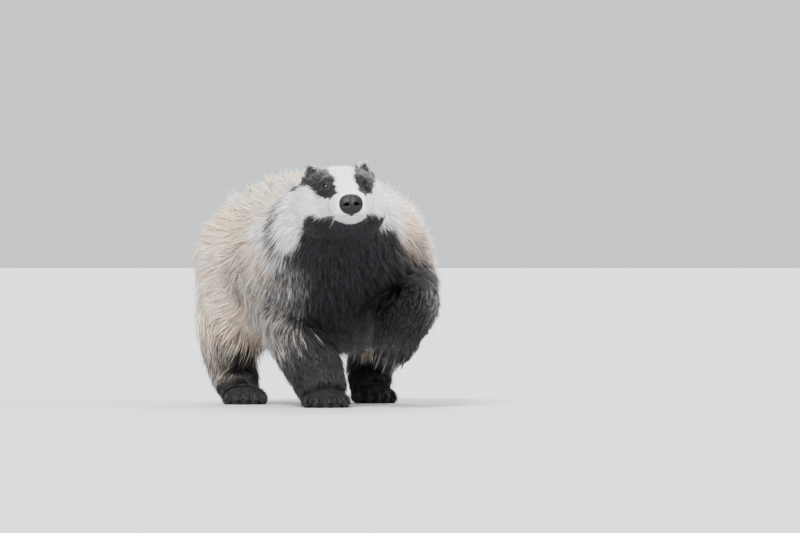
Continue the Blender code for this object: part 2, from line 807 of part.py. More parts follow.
def nose_node(material):
    """The bare nose pad, with two comma-shaped nostrils."""
    made = in_model("nose", nose_ball(0.0), Matrix())
    for side in SIDES.values():
        tilt = Matrix.Rotation(side * NOSTRIL_TILT, 4, "Y")
        for (place, radii), turn in ((NOSTRIL_HOLE, Matrix()), (NOSTRIL_SLIT, tilt)):
            cut = in_model("nostril", ball(to_side(place, side), radii, turn, 8, 5), Matrix())
            made = combined(made, [cut], "DIFFERENCE", "nose")
    return node(largest_piece(made), "nose", material)


def eye_node(side, frame, material):
    made = ball((0, 0, 0), (EYE_RADIUS,) * 3, segments=14, rows=9)
    return node(in_model("eye", made, frame), "eye_" + side, material)


def ear_node(side, head, material):
    """A rounded cup, open forward and outward, standing on the head."""
    sign = SIDES[side]
    turn = (
        Matrix.Rotation(sign * EAR_TURN, 4, "Z")
        @ Matrix.Rotation(sign * EAR_SPLAY, 4, "Y")
        @ Matrix.Rotation(-EAR_LAY, 4, "X")
    )
    frame = Matrix.Translation(to_side(EAR_PLACE, sign)) @ turn
    made = in_model("ear", ball(*EAR_SHELL, segments=14, rows=8), frame)
    made = combined(made, [in_model("cup", ball(*EAR_CUP, segments=12, rows=8), frame)], "DIFFERENCE", "ear")
    made = combined(made, [grown(head, "head_room")], "DIFFERENCE", "ear")
    return node(largest_piece(made), "ear_" + side, material)


def claw_shape(frame, length, radius, droop):
    """A tapered claw along an arc, from inside the toe."""
    rings = []
    across = Vector((1, 0, 0))
    place, angle = Vector((0, *CLAW_START)), CLAW_DIP
    for k in range(CLAW_STEPS + 1):
        size = radius * (1 - k / CLAW_STEPS) ** CLAW_TAPER + CLAW_TIP
        along = Vector((0, math.cos(angle), -math.sin(angle)))
        half_width, half_height = (size * share for share in CLAW_SECTION)
        rings.append(oval(place.copy(), across, across.cross(along), half_width, half_height, half_height,
                          CLAW_FACES, 2.0))
        place += along * ((length + CLAW_INSIDE) / CLAW_STEPS)
        angle += droop / CLAW_STEPS
    made = tube(rings)
    made.transform(frame)
    return made


def claw_nodes(paw_name, leg, material):
    """A paw's claws, from the inner toe to the outer one, each cut to stand on its toe."""
    paw = PAWS[paw_name]
    length, radius, droop = paw["claw"]["length"], paw["claw"]["radius"], paw["claw"]["droop"]
    for k, frame in enumerate(toe_frames(paw)):
        name = f"claw_{paw_name}_{k + 1}"
        share = 1.0 if 0 < k < TOES - 1 else OUTER_CLAW
        claw = helper_from(name, claw_shape(frame, length * share, radius, droop))
        claw = combined(claw, [grown(leg, "leg_room")], "DIFFERENCE", name)
        claw = combined(claw, [floor_cutter()], "DIFFERENCE", name)
        node(largest_piece(claw), name, material)


def settle():
    """Moves every node so that the ground under the middle of the whole is the origin."""
    shown = [thing for thing in bpy.data.objects if thing.type == "MESH" and not thing.hide_render]
    corners = np.array([v.co for thing in shown for v in thing.data.vertices])
    low, high = corners.min(axis=0), corners.max(axis=0)
    for thing in shown:
        thing.location = (-(low[0] + high[0]) / 2, -(low[1] + high[1]) / 2, -low[2])


def lie_of(normal):
    """The way the coat lies on the trunk: back along the spine, and down on the flanks."""
    return Vector((0, 1.0, -LIE_DROP * (1 - abs(normal.z)))).normalized()


def lock_mesh(tree, root, normal, lie, length, rise, bend):
    """A flat lock that starts inside the core, follows its surface and lifts to a point."""
    heading = (lie - normal * lie.dot(normal)).normalized()
    place, up, travelled, rings = root.copy(), normal.copy(), 0.0, []
    shares = [ring[0] for ring in LOCK_RINGS] + [1.0]
    for k, share in enumerate(shares):
        if k:
            step = length * (share - shares[k - 1])
            near, face = tree.find_nearest(place + heading * step)[:2]
            up = (up + face).normalized()
            heading = (near - place).normalized() + up.cross(heading) * bend
            heading = (heading - up * heading.dot(up)).normalized()
            place = near
        height = -LOCK_ROOT + (rise * LOCK_RISE + LOCK_ROOT) * share**LOCK_LIFT
        centre = place + up * height
        side = heading.cross(up).normalized()
        if k < len(LOCK_RINGS):
            half = 0.5 * LOCK_WIDTH * length * LOCK_RINGS[k][1]
            thick = 0.5 * LOCK_THICKNESS * LOCK_RINGS[k][2]
            rings.append([centre - side * half, centre + up * thick, centre + side * half, centre - up * thick])
        else:
            tip = centre
    made = bmesh.new()
    rows = [[made.verts.new(p) for p in ring] for ring in rings]
    for one, two in zip(rows, rows[1:]):
        for k in range(4):
            made.faces.new((one[k], one[(k + 1) % 4], two[(k + 1) % 4], two[k]))
    made.faces.new(rows[0])
    point = made.verts.new(tip)
    for k in range(4):
        made.faces.new((rows[-1][k], rows[-1][(k + 1) % 4], point))
    bmesh.ops.recalc_face_normals(made, faces=made.faces)
    return made


def trunk_locks(tree, chance):
    """Locks on the trunk, in staggered rings."""
    made = []
    table = np.array(TRUNK)
    for k, y in enumerate(np.arange(*LOCK_ROWS)):
        x, half_width, top, bottom = (np.interp(y, table[:, 0], table[:, n]) for n in (1, 2, 3, 4))
        count = round(math.pi * (half_width + (top - bottom) / 2) / LOCK_SPACING)
        for turn in (np.arange(count) + k % 2 / 2) * 360 / count:
            angle = math.radians(turn) + chance.uniform(-1, 1) * LOCK_STRAY[0]
            there = y + chance.uniform(-1, 1) * LOCK_STRAY[1]
            middle = Vector((x, there, 0.5 * (top + bottom)))
            place, normal = tree.ray_cast(middle, Vector((math.cos(angle), 0, math.sin(angle))))[:2]
            if place is None or place.z < bottom / 2:
                continue
            under = -normal.z > BELLY_SLOPE
            depth = np.interp(there, *zip(*TRUNK_COAT)) * (BELLY_COAT if under else 1.0)
            length = chance.uniform(*LOCK_LENGTHS) * (LOCK_LENGTH[0] + LOCK_LENGTH[1] * depth)
            made.append(lock_mesh(tree, place, normal, lie_of(normal), length, depth * CORE_SHARE,
                                  chance.uniform(-1, 1) * LOCK_BEND))
    return made


def limb_locks(tree, chance, rows, coats, spans, turns, length):
    """Locks round a limb or the tail, pointing along it, at the given spans of its rows."""
    made = []
    table = np.array(rows)
    for k, span in enumerate(spans):
        here, ahead = (
            np.array([np.interp(at, range(len(table)), column) for column in table.T])
            for at in (span, span + LOCK_AHEAD)
        )
        middle = Vector(here[:3])
        along = (Vector(ahead[:3]) - middle).normalized()
        side = (Vector((1, 0, 0)) - along * along.x).normalized()
        rise = side.cross(along)
        depth = np.interp(span / (len(table) - 1), (0, 1), coats)
        for turn in np.arange(0, 360, 360 / turns) + (k % 2) * 180 / turns:
            angle = math.radians(turn) + chance.uniform(-1, 1) * LIMB_STRAY
            out = side * math.cos(angle) + rise * math.sin(angle)
            place, normal, _, reach = tree.ray_cast(middle, out)
            if place is None or reach > LIMB_REACH * max(here[3:5]):
                continue
            made.append(lock_mesh(tree, place, normal, along, chance.uniform(*LOCK_LENGTHS) * length,
                                  depth * CORE_SHARE, chance.uniform(-1, 1) * LOCK_BEND))
    return made


def shaggy_body():
    """The whole animal before it is parted: a core half as deep as the coat, joined with its locks."""
    core = fused(whole_body(CORE_SHARE), "core", BODY_FUSE)
    tree = BVHTree.FromObject(core, bpy.context.evaluated_depsgraph_get())
    chance = random.Random(LOCK_SEED)
    locks = trunk_locks(tree, chance)
    for rows in LIMBS.values():
        locks += limb_locks(tree, chance, rows, LEG_COAT, **LEG_LOCKS)
    locks += limb_locks(tree, chance, tail_rows(CORE_SHARE), TAIL_COAT, **TAIL_LOCKS)
    locks = [helper_from("lock", lock) for lock in locks]
    return combined(core, locks, "UNION", "shaggy_body")


def main():
    clear_scene()
    materials = {name: paint(name) for name in COLOURS}
    body = shaggy_body()
    torso_node(body, materials["long_coat"])
    neck_node(body, materials["long_coat"])
    tail_node(body, materials["long_coat"])
    legs = {name: leg_node(body, name, materials["dark_coat"]) for name in LEG_SHARES}
    drop(body)
    head = head_node(materials["face_coat"])
    nose_node(materials["nose_skin"])
    for side, frame in eye_frames().items():
        eye_node(side, frame, materials["eye"])
        ear_node(side, head, materials["dark_coat"])
    for paw_name in PAWS:
        end, side = paw_name.split("_")
        claw_nodes(paw_name, legs[f"{end}leg_{side}"], materials["claw_horn"])
    settle()


main()
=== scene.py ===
"""A European badger in its winter coat: skin, tufts of fur, nose pad, eyes, whiskers and claws."""

import math

import bmesh
import bpy
import numpy as np
from mathutils import Matrix, Vector
from mathutils.bvhtree import BVHTree
from mathutils.kdtree import KDTree


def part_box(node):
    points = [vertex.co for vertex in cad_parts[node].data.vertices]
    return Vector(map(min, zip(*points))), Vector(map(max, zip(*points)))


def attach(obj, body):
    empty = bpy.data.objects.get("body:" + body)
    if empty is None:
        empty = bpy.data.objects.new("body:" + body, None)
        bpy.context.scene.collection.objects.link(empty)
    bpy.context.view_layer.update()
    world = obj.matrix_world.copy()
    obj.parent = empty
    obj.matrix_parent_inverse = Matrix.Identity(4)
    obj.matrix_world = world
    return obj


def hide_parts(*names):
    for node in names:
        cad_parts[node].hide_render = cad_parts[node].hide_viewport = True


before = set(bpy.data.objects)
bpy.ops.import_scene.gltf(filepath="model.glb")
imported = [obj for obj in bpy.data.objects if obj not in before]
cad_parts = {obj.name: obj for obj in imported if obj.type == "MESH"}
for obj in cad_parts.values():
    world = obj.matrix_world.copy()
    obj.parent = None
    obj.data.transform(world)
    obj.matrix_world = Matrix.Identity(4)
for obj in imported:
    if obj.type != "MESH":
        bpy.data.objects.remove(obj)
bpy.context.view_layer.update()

# The stance. The animal was measured facing -Y with y = 0 at its shoulders, and its head has axes of
# its own from the nose tip: x to its left, y back, z up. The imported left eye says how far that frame
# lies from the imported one, and every piece is moved by as much.
NOSE_TIP = Vector((-0.036, -0.338, 0.264))
HEAD_TURN = Matrix.Rotation(math.radians(-2.0), 4, "Z") @ Matrix.Rotation(math.radians(-4.0), 4, "Y")
HEAD = Matrix.Translation(NOSE_TIP) @ HEAD_TURN
EYE_PLACE = Vector((0.0226, 0.0620, 0.0226))
eye_low, eye_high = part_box("eye_left")
MOVE = (eye_low + eye_high) / 2 - HEAD @ EYE_PLACE
SOLE = -MOVE.z

# The camera stands ten metres off at the height of the shoulders, a little to the animal's right, and
# sees 1.3 mm of it in each pixel of the photograph, with x = 0 at the shoulders in column 340.
PIXEL = 0.0013
DISTANCE = 10.0
FRAME_WIDTH = 800
SHOULDER_COLUMN = 340
EYE_LEVEL = 0.185
CAMERA_TURN = math.radians(-9.0)
camera = bpy.data.objects.new("camera", bpy.data.cameras.new("camera"))
bpy.context.scene.collection.objects.link(camera)
bpy.context.scene.camera = camera
camera.data.sensor_width = 36.0
camera.data.lens = DISTANCE / PIXEL / FRAME_WIDTH * camera.data.sensor_width
camera.data.clip_end = 2000.0
to_right = Vector((math.cos(CAMERA_TURN), math.sin(CAMERA_TURN), 0))
to_camera = Vector((math.sin(CAMERA_TURN), -math.cos(CAMERA_TURN), 0))
camera.location = (
    MOVE
    + to_camera * DISTANCE
    + to_right * (FRAME_WIDTH / 2 - SHOULDER_COLUMN) * PIXEL
    + Vector((0, 0, EYE_LEVEL))
)
camera.rotation_mode = "QUATERNION"
camera.rotation_quaternion = (-to_camera).to_track_quat("-Z", "Y")

# The skin under the coat: one closed hide over trunk, neck, tail, legs, head and ears. Each shape is a
# tube through measured sections of the outline at the tips of the coat, drawn in by the coat's depth,
# and the tubes are fused into one.

# The trunk: y, x, half width, top and bottom, depth of the coat, length of its hair
TRUNK = (
    (-0.225, -0.034, 0.050, 0.306, 0.222, 0.012, 0.034),
    (-0.175, -0.031, 0.073, 0.310, 0.188, 0.017, 0.042),
    (-0.125, -0.026, 0.098, 0.305, 0.150, 0.021, 0.050),
    (-0.065, -0.014, 0.120, 0.300, 0.112, 0.026, 0.056),
    (0.000, -0.006, 0.132, 0.303, 0.090, 0.029, 0.060),
    (0.080, -0.003, 0.146, 0.311, 0.078, 0.031, 0.064),
    (0.160, -0.003, 0.159, 0.317, 0.070, 0.032, 0.068),
    (0.230, -0.003, 0.164, 0.313, 0.072, 0.033, 0.070),
    (0.300, -0.003, 0.153, 0.294, 0.084, 0.034, 0.070),
    (0.350, -0.002, 0.125, 0.266, 0.106, 0.030, 0.068),
    (0.388, 0.000, 0.082, 0.234, 0.136, 0.027, 0.064),
    (0.412, 0.000, 0.040, 0.208, 0.162, 0.024, 0.060),
)
# How much of the back's coat the belly has, how high in the trunk its axis lies, and how square both
# trunk and skull are across: 2 is an ellipse
BELLY_COAT = 0.6
TRUNK_MIDDLE = 0.48
TRUNK_SQUARENESS = 2.08
SKULL_SQUARENESS = 2.15
# Limbs and tail from root to end: x, y, z, half width, half depth, depth of the coat, length of its hair
LIMBS = {
    "foreleg_right": (
        (-0.060, 0.020, 0.215, 0.044, 0.056, 0.022, 0.052),
        (-0.074, 0.012, 0.165, 0.050, 0.062, 0.019, 0.046),
        (-0.067, -0.002, 0.120, 0.048, 0.055, 0.016, 0.038),
        (-0.050, -0.028, 0.078, 0.042, 0.045, 0.013, 0.028),
        (-0.038, -0.052, 0.045, 0.037, 0.036, 0.0085, 0.0160),
        (-0.033, -0.070, 0.022, 0.034, 0.026, 0.0055, 0.0110),
    ),
    "foreleg_left": (
        (0.058, 0.015, 0.215, 0.044, 0.055, 0.022, 0.052),
        (0.076, 0.002, 0.175, 0.048, 0.060, 0.019, 0.046),
        (0.082, -0.030, 0.150, 0.044, 0.050, 0.016, 0.038),
        (0.080, -0.068, 0.136, 0.042, 0.043, 0.013, 0.030),
        (0.069, -0.101, 0.119, 0.038, 0.036, 0.010, 0.021),
        (0.056, -0.121, 0.100, 0.031, 0.028, 0.007, 0.013),
    ),
    "hindleg_right": (
        (-0.080, 0.260, 0.200, 0.062, 0.085, 0.024, 0.062),
        (-0.100, 0.228, 0.150, 0.060, 0.080, 0.021, 0.056),
        (-0.114, 0.205, 0.105, 0.050, 0.062, 0.017, 0.044),
        (-0.113, 0.222, 0.064, 0.037, 0.042, 0.012, 0.028),
        (-0.108, 0.218, 0.036, 0.031, 0.032, 0.0080, 0.0145),
        (-0.104, 0.190, 0.020, 0.028, 0.024, 0.006, 0.010),
    ),
    "hindleg_left": (
        (0.078, 0.285, 0.200, 0.062, 0.085, 0.024, 0.062),
        (0.092, 0.262, 0.150, 0.060, 0.080, 0.021, 0.056),
        (0.096, 0.252, 0.105, 0.050, 0.060, 0.017, 0.044),
        (0.088, 0.284, 0.068, 0.036, 0.042, 0.012, 0.028),
        (0.082, 0.284, 0.038, 0.030, 0.032, 0.0080, 0.0145),
        (0.080, 0.256, 0.020, 0.028, 0.024, 0.006, 0.010),
    ),
    "tail": (
        (0.000, 0.355, 0.225, 0.036, 0.036, 0.020, 0.056),
        (0.001, 0.390, 0.207, 0.034, 0.034, 0.020, 0.058),
        (0.004, 0.425, 0.182, 0.035, 0.033, 0.019, 0.060),
        (0.008, 0.455, 0.154, 0.034, 0.030, 0.018, 0.060),
        (0.012, 0.482, 0.126, 0.027, 0.023, 0.015, 0.058),
        (0.014, 0.498, 0.108, 0.014, 0.013, 0.008, 0.054),
    ),
}
# The head, back from the nose tip: distance, half width, height above and below, coat, hair
SKULL = (
    (0.006, 0.0150, 0.0110, 0.0130, 0.0004, 0.0030),
    (0.014, 0.0195, 0.0150, 0.0170, 0.0006, 0.0034),
    (0.028, 0.0230, 0.0185, 0.0200, 0.0009, 0.0042),
    (0.046, 0.0275, 0.0260, 0.0240, 0.0013, 0.0054),
    (0.064, 0.0350, 0.0355, 0.0290, 0.0018, 0.0068),
    (0.084, 0.0460, 0.0445, 0.0350, 0.0032, 0.0105),
    (0.106, 0.0545, 0.0490, 0.0430, 0.0052, 0.0155),
    (0.130, 0.0600, 0.0500, 0.0500, 0.0080, 0.0220),
    (0.156, 0.0640, 0.0485, 0.0560, 0.0110, 0.0290),
    (0.180, 0.0600, 0.0420, 0.0520, 0.0130, 0.0340),
)
# The lower jaw, under the head's front: distance back, half width, top and bottom from the tip's level
JAW = (
    (0.013, 0.0095, -0.0140, -0.0170),
    (0.020, 0.0150, -0.0135, -0.0182),
    (0.040, 0.0200, -0.0125, -0.0205),
    (0.064, 0.0250, -0.0110, -0.0275),
    (0.090, 0.0350, -0.0080, -0.0335),
    (0.112, 0.0380, -0.0040, -0.0390),
)
# What stands out of the head on each side, as (out, back, up) and radii: lip, brow and cheek
HEAD_BULGES = (
    ((0.0100, 0.0230, -0.0080), (0.0130, 0.0175, 0.0105)),
    ((0.0180, 0.0760, 0.0295), (0.0098, 0.0205, 0.0080)),
    ((0.0320, 0.1120, -0.0080), (0.0210, 0.0460, 0.0290)),
)
# The left ear: its root in the head's axes, how it is turned, its shell and the cup in it
EAR_PLACE = Vector((0.0340, 0.1240, 0.0312))
EAR_TURN = (
    Matrix.Rotation(math.radians(34.0), 4, "Z")
    @ Matrix.Rotation(math.radians(20.0), 4, "Y")
    @ Matrix.Rotation(math.radians(-34.0), 4, "X")
)
EAR_SHELL = ((0, 0, 0.0040), (0.0138, 0.0075, 0.0172))
EAR_CUP = ((0, -0.0054, 0.0110), (0.0105, 0.0085, 0.0105))
# Each paw: where its toes begin, the way they point, its up, and how far apart and fanned its toes are
PAWS = {
    "fore_right": dict(
        root=(-0.032, -0.088, 0.0125), forward=(-0.04, -1, -0.02), up=(0, 0, 1), spread=0.0106, fan=6.0,
    ),
    "fore_left": dict(
        root=(0.0500, -0.1330, 0.0835), forward=(-0.42, -0.38, -0.82), up=(-0.15, -0.9, 0.4),
        spread=0.0092, fan=2.0,
    ),
    "hind_right": dict(
        root=(-0.103, 0.160, 0.0120), forward=(-0.06, -1, -0.02), up=(0, 0, 1), spread=0.0100, fan=6.0,
    ),
    "hind_left": dict(
        root=(0.080, 0.226, 0.0120), forward=(0.08, -1, -0.02), up=(0, 0, 1), spread=0.0100, fan=6.0,
    ),
}
# Toes on a paw, how far back the outer ones stand, and palm, toe and the pads under them, as middle
# and radii
TOES = 5
TOE_SETBACK = 0.0022
PALM = ((0, -0.0100, 0.0010), (0.0285, 0.0250, 0.0138))
TOE = ((0, 0.0099, -0.0010), (0.0068, 0.0132, 0.0090))
PALM_PAD = ((0, -0.0020, -0.0080), (0.0170, 0.0120, 0.0060))
TOE_PAD = ((0, 0.0135, -0.0075), (0.0050, 0.0070, 0.0040))
# The coat's share that lies outside the skin, and how each shape is fused: its voxel, and how many
# rounds of smoothing follow
SKIN_SHARE = 0.62
BODY_FUSE = (0.0045, 6)
PAW_FUSE = (0.0018, 5)
SKULL_FUSE = (0.0018, 22)
FACE_FUSE = (0.0012, 2)
EAR_FUSE = (0.0006, 14)
SIDES = {"left": 1, "right": -1}
OUT, BACK, UP = Vector((1, 0, 0)), Vector((0, 1, 0)), Vector((0, 0, 1))


def smooth_rows(rows, steps):
    """Catmull-Rom rows through the given ones, with steps to each span."""
    points = np.array(rows, float)
    ends = np.vstack([2 * points[0] - points[1], points, 2 * points[-1] - points[-2]])
    made = []
    for k in range(len(points) - 1):
        a, b, c, d = ends[k : k + 4]
        for t in np.arange(steps) / steps:
            bend = (2 * a - 5 * b + 4 * c - d) * t**2 + (3 * b - a - 3 * c + d) * t**3
            made.append(0.5 * (2 * b + (c - a) * t + bend))
    made.append(points[-1])
    return np.array(made)


def tube(rings):
    """A closed bmesh through rings of points, with a point in the middle of each end."""
    made = bmesh.new()
    rows = [[made.verts.new(point) for point in ring] for ring in rings]
    count = len(rows[0])
    for one, two in zip(rows, rows[1:]):
        for k in range(count):
            after = (k + 1) % count
            made.faces.new((one[k], one[after], two[after], two[k]))
    for row in (rows[0], rows[-1]):
        middle = made.verts.new(sum((vert.co for vert in row), Vector()) / count)
        for k in range(count):
            made.faces.new((row[k], row[(k + 1) % count], middle))
    bmesh.ops.recalc_face_normals(made, faces=made.faces)
    return made


def oval(centre, side, rise, half_width, up, down, count=24, squareness=2.0):
    """A ring of points: a superellipse with its own height above and below its centre."""
    ring = []
    for k in range(count):
        angle = 2 * math.pi * k / count
        across, along = math.cos(angle), math.sin(angle)
        across = math.copysign(abs(across) ** (2 / squareness), across)
        along = math.copysign(abs(along) ** (2 / squareness), along)
        ring.append(centre + side * (half_width * across) + rise * ((up if along > 0 else down) * along))
    return ring


def trunk_shape():
    """A tube along the trunk, flatter below than above."""
    rings = []
    for y, x, half_width, top, bottom, coat, _ in smooth_rows(TRUNK, 4):
        inset = SKIN_SHARE * coat
        top, bottom = top - inset, bottom + BELLY_COAT * inset
        middle = bottom + TRUNK_MIDDLE * (top - bottom)
        rings.append(
            oval(
                Vector((x, y, middle)), OUT, UP, half_width - inset, top - middle, middle - bottom,
                count=32, squareness=TRUNK_SQUARENESS,
            )
        )
    return tube(rings)


def limb_shape(rows):
    """A tube along a limb, with rings square to its path."""
    fine = smooth_rows(rows, 4)
    places = [Vector(row[:3]) for row in fine]
    rings = []
    for k, row in enumerate(fine):
        ahead = (places[min(k + 1, len(places) - 1)] - places[max(k - 1, 0)]).normalized()
        side = (OUT - ahead * ahead.x).normalized()
        inset = SKIN_SHARE * row[5]
        half_width, half_depth = row[3] - inset, row[4] - inset
        rings.append(oval(places[k], side, side.cross(ahead), half_width, half_depth, half_depth))
    return tube(rings)


def ball(centre, radii):
    """A bmesh ellipsoid."""
    made = bmesh.new()
    bmesh.ops.create_uvsphere(made, u_segments=24, v_segments=16, radius=1.0)
    made.transform(Matrix.Translation(centre) @ Matrix.Diagonal((*radii, 1.0)))
    return made


def to_side(point, sign):
    """A point given for the animal's left, on the side asked for: 1 left, -1 right."""
    return Vector((sign * point[0], point[1], point[2]))


def skull_shapes():
    """The head, the lower jaw and the bulges on them, in the head's own axes."""
    head_rings = [
        oval(
            BACK * back, OUT, UP, half_width - SKIN_SHARE * coat, up - SKIN_SHARE * coat,
            down - SKIN_SHARE * coat, count=32, squareness=SKULL_SQUARENESS,
        )
        for back, half_width, up, down, coat, _ in smooth_rows(SKULL, 5)
    ]
    jaw_rings = []
    for back, half_width, top, bottom in smooth_rows(JAW, 4):
        half_height = (top - bottom) / 2
        middle = Vector((0, back, (top + bottom) / 2))
        jaw_rings.append(oval(middle, OUT, UP, half_width, half_height, half_height))
    balls = [ball(to_side(place, sign), radii) for place, radii in HEAD_BULGES for sign in (-1, 1)]
    return [tube(head_rings), tube(jaw_rings), *balls]


def ear_axes(sign):
    """An ear's axes at its root, with z up to its tip; the right ear mirrors the left."""
    mirror = Matrix.Diagonal((sign, 1, 1, 1))
    return HEAD @ mirror @ Matrix.Translation(EAR_PLACE) @ EAR_TURN @ mirror


def paw_axes(paw):
    """Axes at a paw: x to the animal's left, y along the toes, z out of the paw's back."""
    along = Vector(paw["forward"]).normalized()
    top = Vector(paw["up"])
    top = (top - along * top.dot(along)).normalized()
    turn = Matrix((along.cross(top), along, top)).transposed().to_4x4()
    return Matrix.Translation(paw["root"]) @ turn


def toe_axes(paw):
    """Each toe's axes, from one side of the paw to the other."""
    made = []
    for k in range(TOES):
        off = k - (TOES - 1) / 2
        place = Matrix.Translation((off * paw["spread"], -TOE_SETBACK * off**2, 0))
        made.append(paw_axes(paw) @ place @ Matrix.Rotation(-off * math.radians(paw["fan"]), 4, "Z"))
    return made


def paw_shapes(paw, limb):
    """Palm and toes with the pads under them, and the end of the limb above."""
    made = [limb_shape(limb[-3:])]
    groups = [(paw_axes(paw), (PALM, PALM_PAD))] + [(toe, (TOE, TOE_PAD)) for toe in toe_axes(paw)]
    for axes, shapes in groups:
        for centre, radii in shapes:
            shape = ball(centre, radii)
            shape.transform(axes)
            made.append(shape)
    return made


def assembled(name, shapes, axes=Matrix()):
    """One object from closed shapes, which are freed."""
    mesh, whole = bpy.data.meshes.new(name), bmesh.new()
    for shape in shapes:
        shape.transform(axes)
        shape.to_mesh(mesh)
        whole.from_mesh(mesh)
        shape.free()
    whole.to_mesh(mesh)
    whole.free()
    made = bpy.data.objects.new(name, mesh)
    bpy.context.scene.collection.objects.link(made)
    return made


def applied(thing):
    """The thing with its modifiers turned into mesh."""
    graph = bpy.context.evaluated_depsgraph_get()
    old = thing.data
    thing.data = bpy.data.meshes.new_from_object(thing.evaluated_get(graph))
    bpy.data.meshes.remove(old)
    thing.modifiers.clear()
    return thing


def fused(thing, voxel, smoothing):
    """Closed shapes that overlap made one skin."""
    remesh = thing.modifiers.new("fuse", "REMESH")
    remesh.mode = "VOXEL"
    remesh.voxel_size = voxel
    smooth = thing.modifiers.new("soften", "SMOOTH")
    smooth.iterations = smoothing
    return applied(thing)


def combined(thing, others, operation):
    """A Boolean of closed meshes; the others are used up."""
    group = bpy.data.collections.new("group")
    for other in others:
        group.objects.link(other)
    boolean = thing.modifiers.new("boolean", "BOOLEAN")
    boolean.operation = operation
    boolean.operand_type = "COLLECTION"
    boolean.collection = group
    boolean.solver = "MANIFOLD"
    applied(thing)
    for other in others:
        bpy.data.objects.remove(other)
    bpy.data.collections.remove(group)
    return thing


# The left eye's axes in the head's: z out of the pupil, x along the slit from the nose side back. Its
# ball's radius, and the hollow cut into the skull for it and the seat left behind it, in those axes
EYE_FACING = (0.70, -0.60, 0.38)
EYE_SLIT = (0.55, 0.80, 0.10)
EYE_RADIUS = 0.0058
EYE_HOLLOW = ((0, 0, 0.0026), (0.0088, 0.0070, 0.0064))
EYE_SEAT = ((0, 0, -0.0016), (0.0080, 0.0066, EYE_RADIUS))


def eye_axes(sign):
    """An eye's axes in the head's."""
    facing = to_side(EYE_FACING, sign).normalized()
    along = to_side(EYE_SLIT, sign)
    along = (along - facing * along.dot(facing)).normalized()
    turn = Matrix((along, facing.cross(along), facing)).transposed().to_4x4()
    return Matrix.Translation(to_side(EYE_PLACE, sign)) @ turn


# The mouth line in the head's axes, from under the nose pad to the corner, and the groove along it
MOUTH = (
    (0.0000, 0.0080, -0.0165),
    (0.0070, 0.0100, -0.0170),
    (0.0130, 0.0160, -0.0165),
    (0.0180, 0.0260, -0.0155),
    (0.0210, 0.0380, -0.0150),
    (0.0260, 0.0500, -0.0155),
    (0.0310, 0.0600, -0.0180),
)
MOUTH_DEPTH = 0.0032
MOUTH_HALF = 0.0008


def mouth_line(skull):
    """The slit between the lips, on the skull's surface, round the front and back along both sides."""
    tree = BVHTree.FromObject(skull, bpy.context.evaluated_depsgraph_get())
    rows = smooth_rows(MOUTH, 3)
    half = [HEAD.inverted() @ tree.find_nearest(HEAD @ Vector(row))[0] for row in rows]
    half[0].x = 0
    return [to_side(point, -1) for point in reversed(half)] + half[1:]


def mouth_shape(line):
    """A flat tube along the mouth, which cuts the slit."""
    rings = []
    for k, place in enumerate(line):
        ahead = (line[min(k + 1, len(line) - 1)] - line[max(k - 1, 0)]).normalized()
        side = ahead.cross(UP).normalized()
        rings.append(oval(place, side, UP, MOUTH_DEPTH, MOUTH_HALF, MOUTH_HALF, count=12))
    return tube(rings)


body = fused(assembled("body", [trunk_shape(), *map(limb_shape, LIMBS.values())]), *BODY_FUSE)
paws = [
    fused(assembled("paw", paw_shapes(paw, LIMBS[name.replace("_", "leg_")])), *PAW_FUSE)
    for name, paw in PAWS.items()
]
skull = fused(assembled("skull", skull_shapes(), HEAD), *SKULL_FUSE)
for sign in SIDES.values():
    axes = HEAD @ eye_axes(sign)
    skull = combined(skull, [assembled("hollow", [ball(*EYE_HOLLOW)], axes)], "DIFFERENCE")
    skull = combined(skull, [assembled("seat", [ball(*EYE_SEAT)], axes)], "UNION")
mouth = mouth_line(skull)
skull = combined(skull, [assembled("mouth", [mouth_shape(mouth)], HEAD)], "DIFFERENCE")
skull = fused(skull, *FACE_FUSE)
ears = []
for sign in SIDES.values():
    ear = assembled("ear", [ball(*EAR_SHELL)], ear_axes(sign))
    ear = combined(ear, [assembled("cup", [ball(*EAR_CUP)], ear_axes(sign))], "DIFFERENCE")
    ears.append(fused(ear, *EAR_FUSE))
skin = combined(body, [skull, *ears, *paws], "UNION")
skin.name = skin.data.name = "skin"


# The lids: a thin rolled rim round each eye's opening, which widens into the skin round the socket.
# They are dark bare skin at the rim, and are joined to the hide.

# The opening's half length and its height above and below, how far the lids reach out of it, how high
# their rim rolls and how far they swell, the gap between lid and ball, the points round an opening and
# the shares of the way out at which its rings lie
OPENING = (0.0049, 0.0031, 0.0026)
LID_REACH = (0.0112, 0.0092)
LID_ROLL = 0.0005
LID_BULGE = 0.0010
LID_GAP = 0.0003
LID_POINTS = 56
LID_STEPS = (0.06, 0.16, 0.30, 0.48, 0.66, 0.84, 1.0)


def under_lid(point, axes, tree):
    """The hide's place behind a point of the lid, both in the eye's axes."""
    hit = tree.ray_cast(axes @ (point + Vector((0, 0, 0.02))), axes.to_3x3() @ Vector((0, 0, -1)))[0]
    return axes.inverted() @ hit


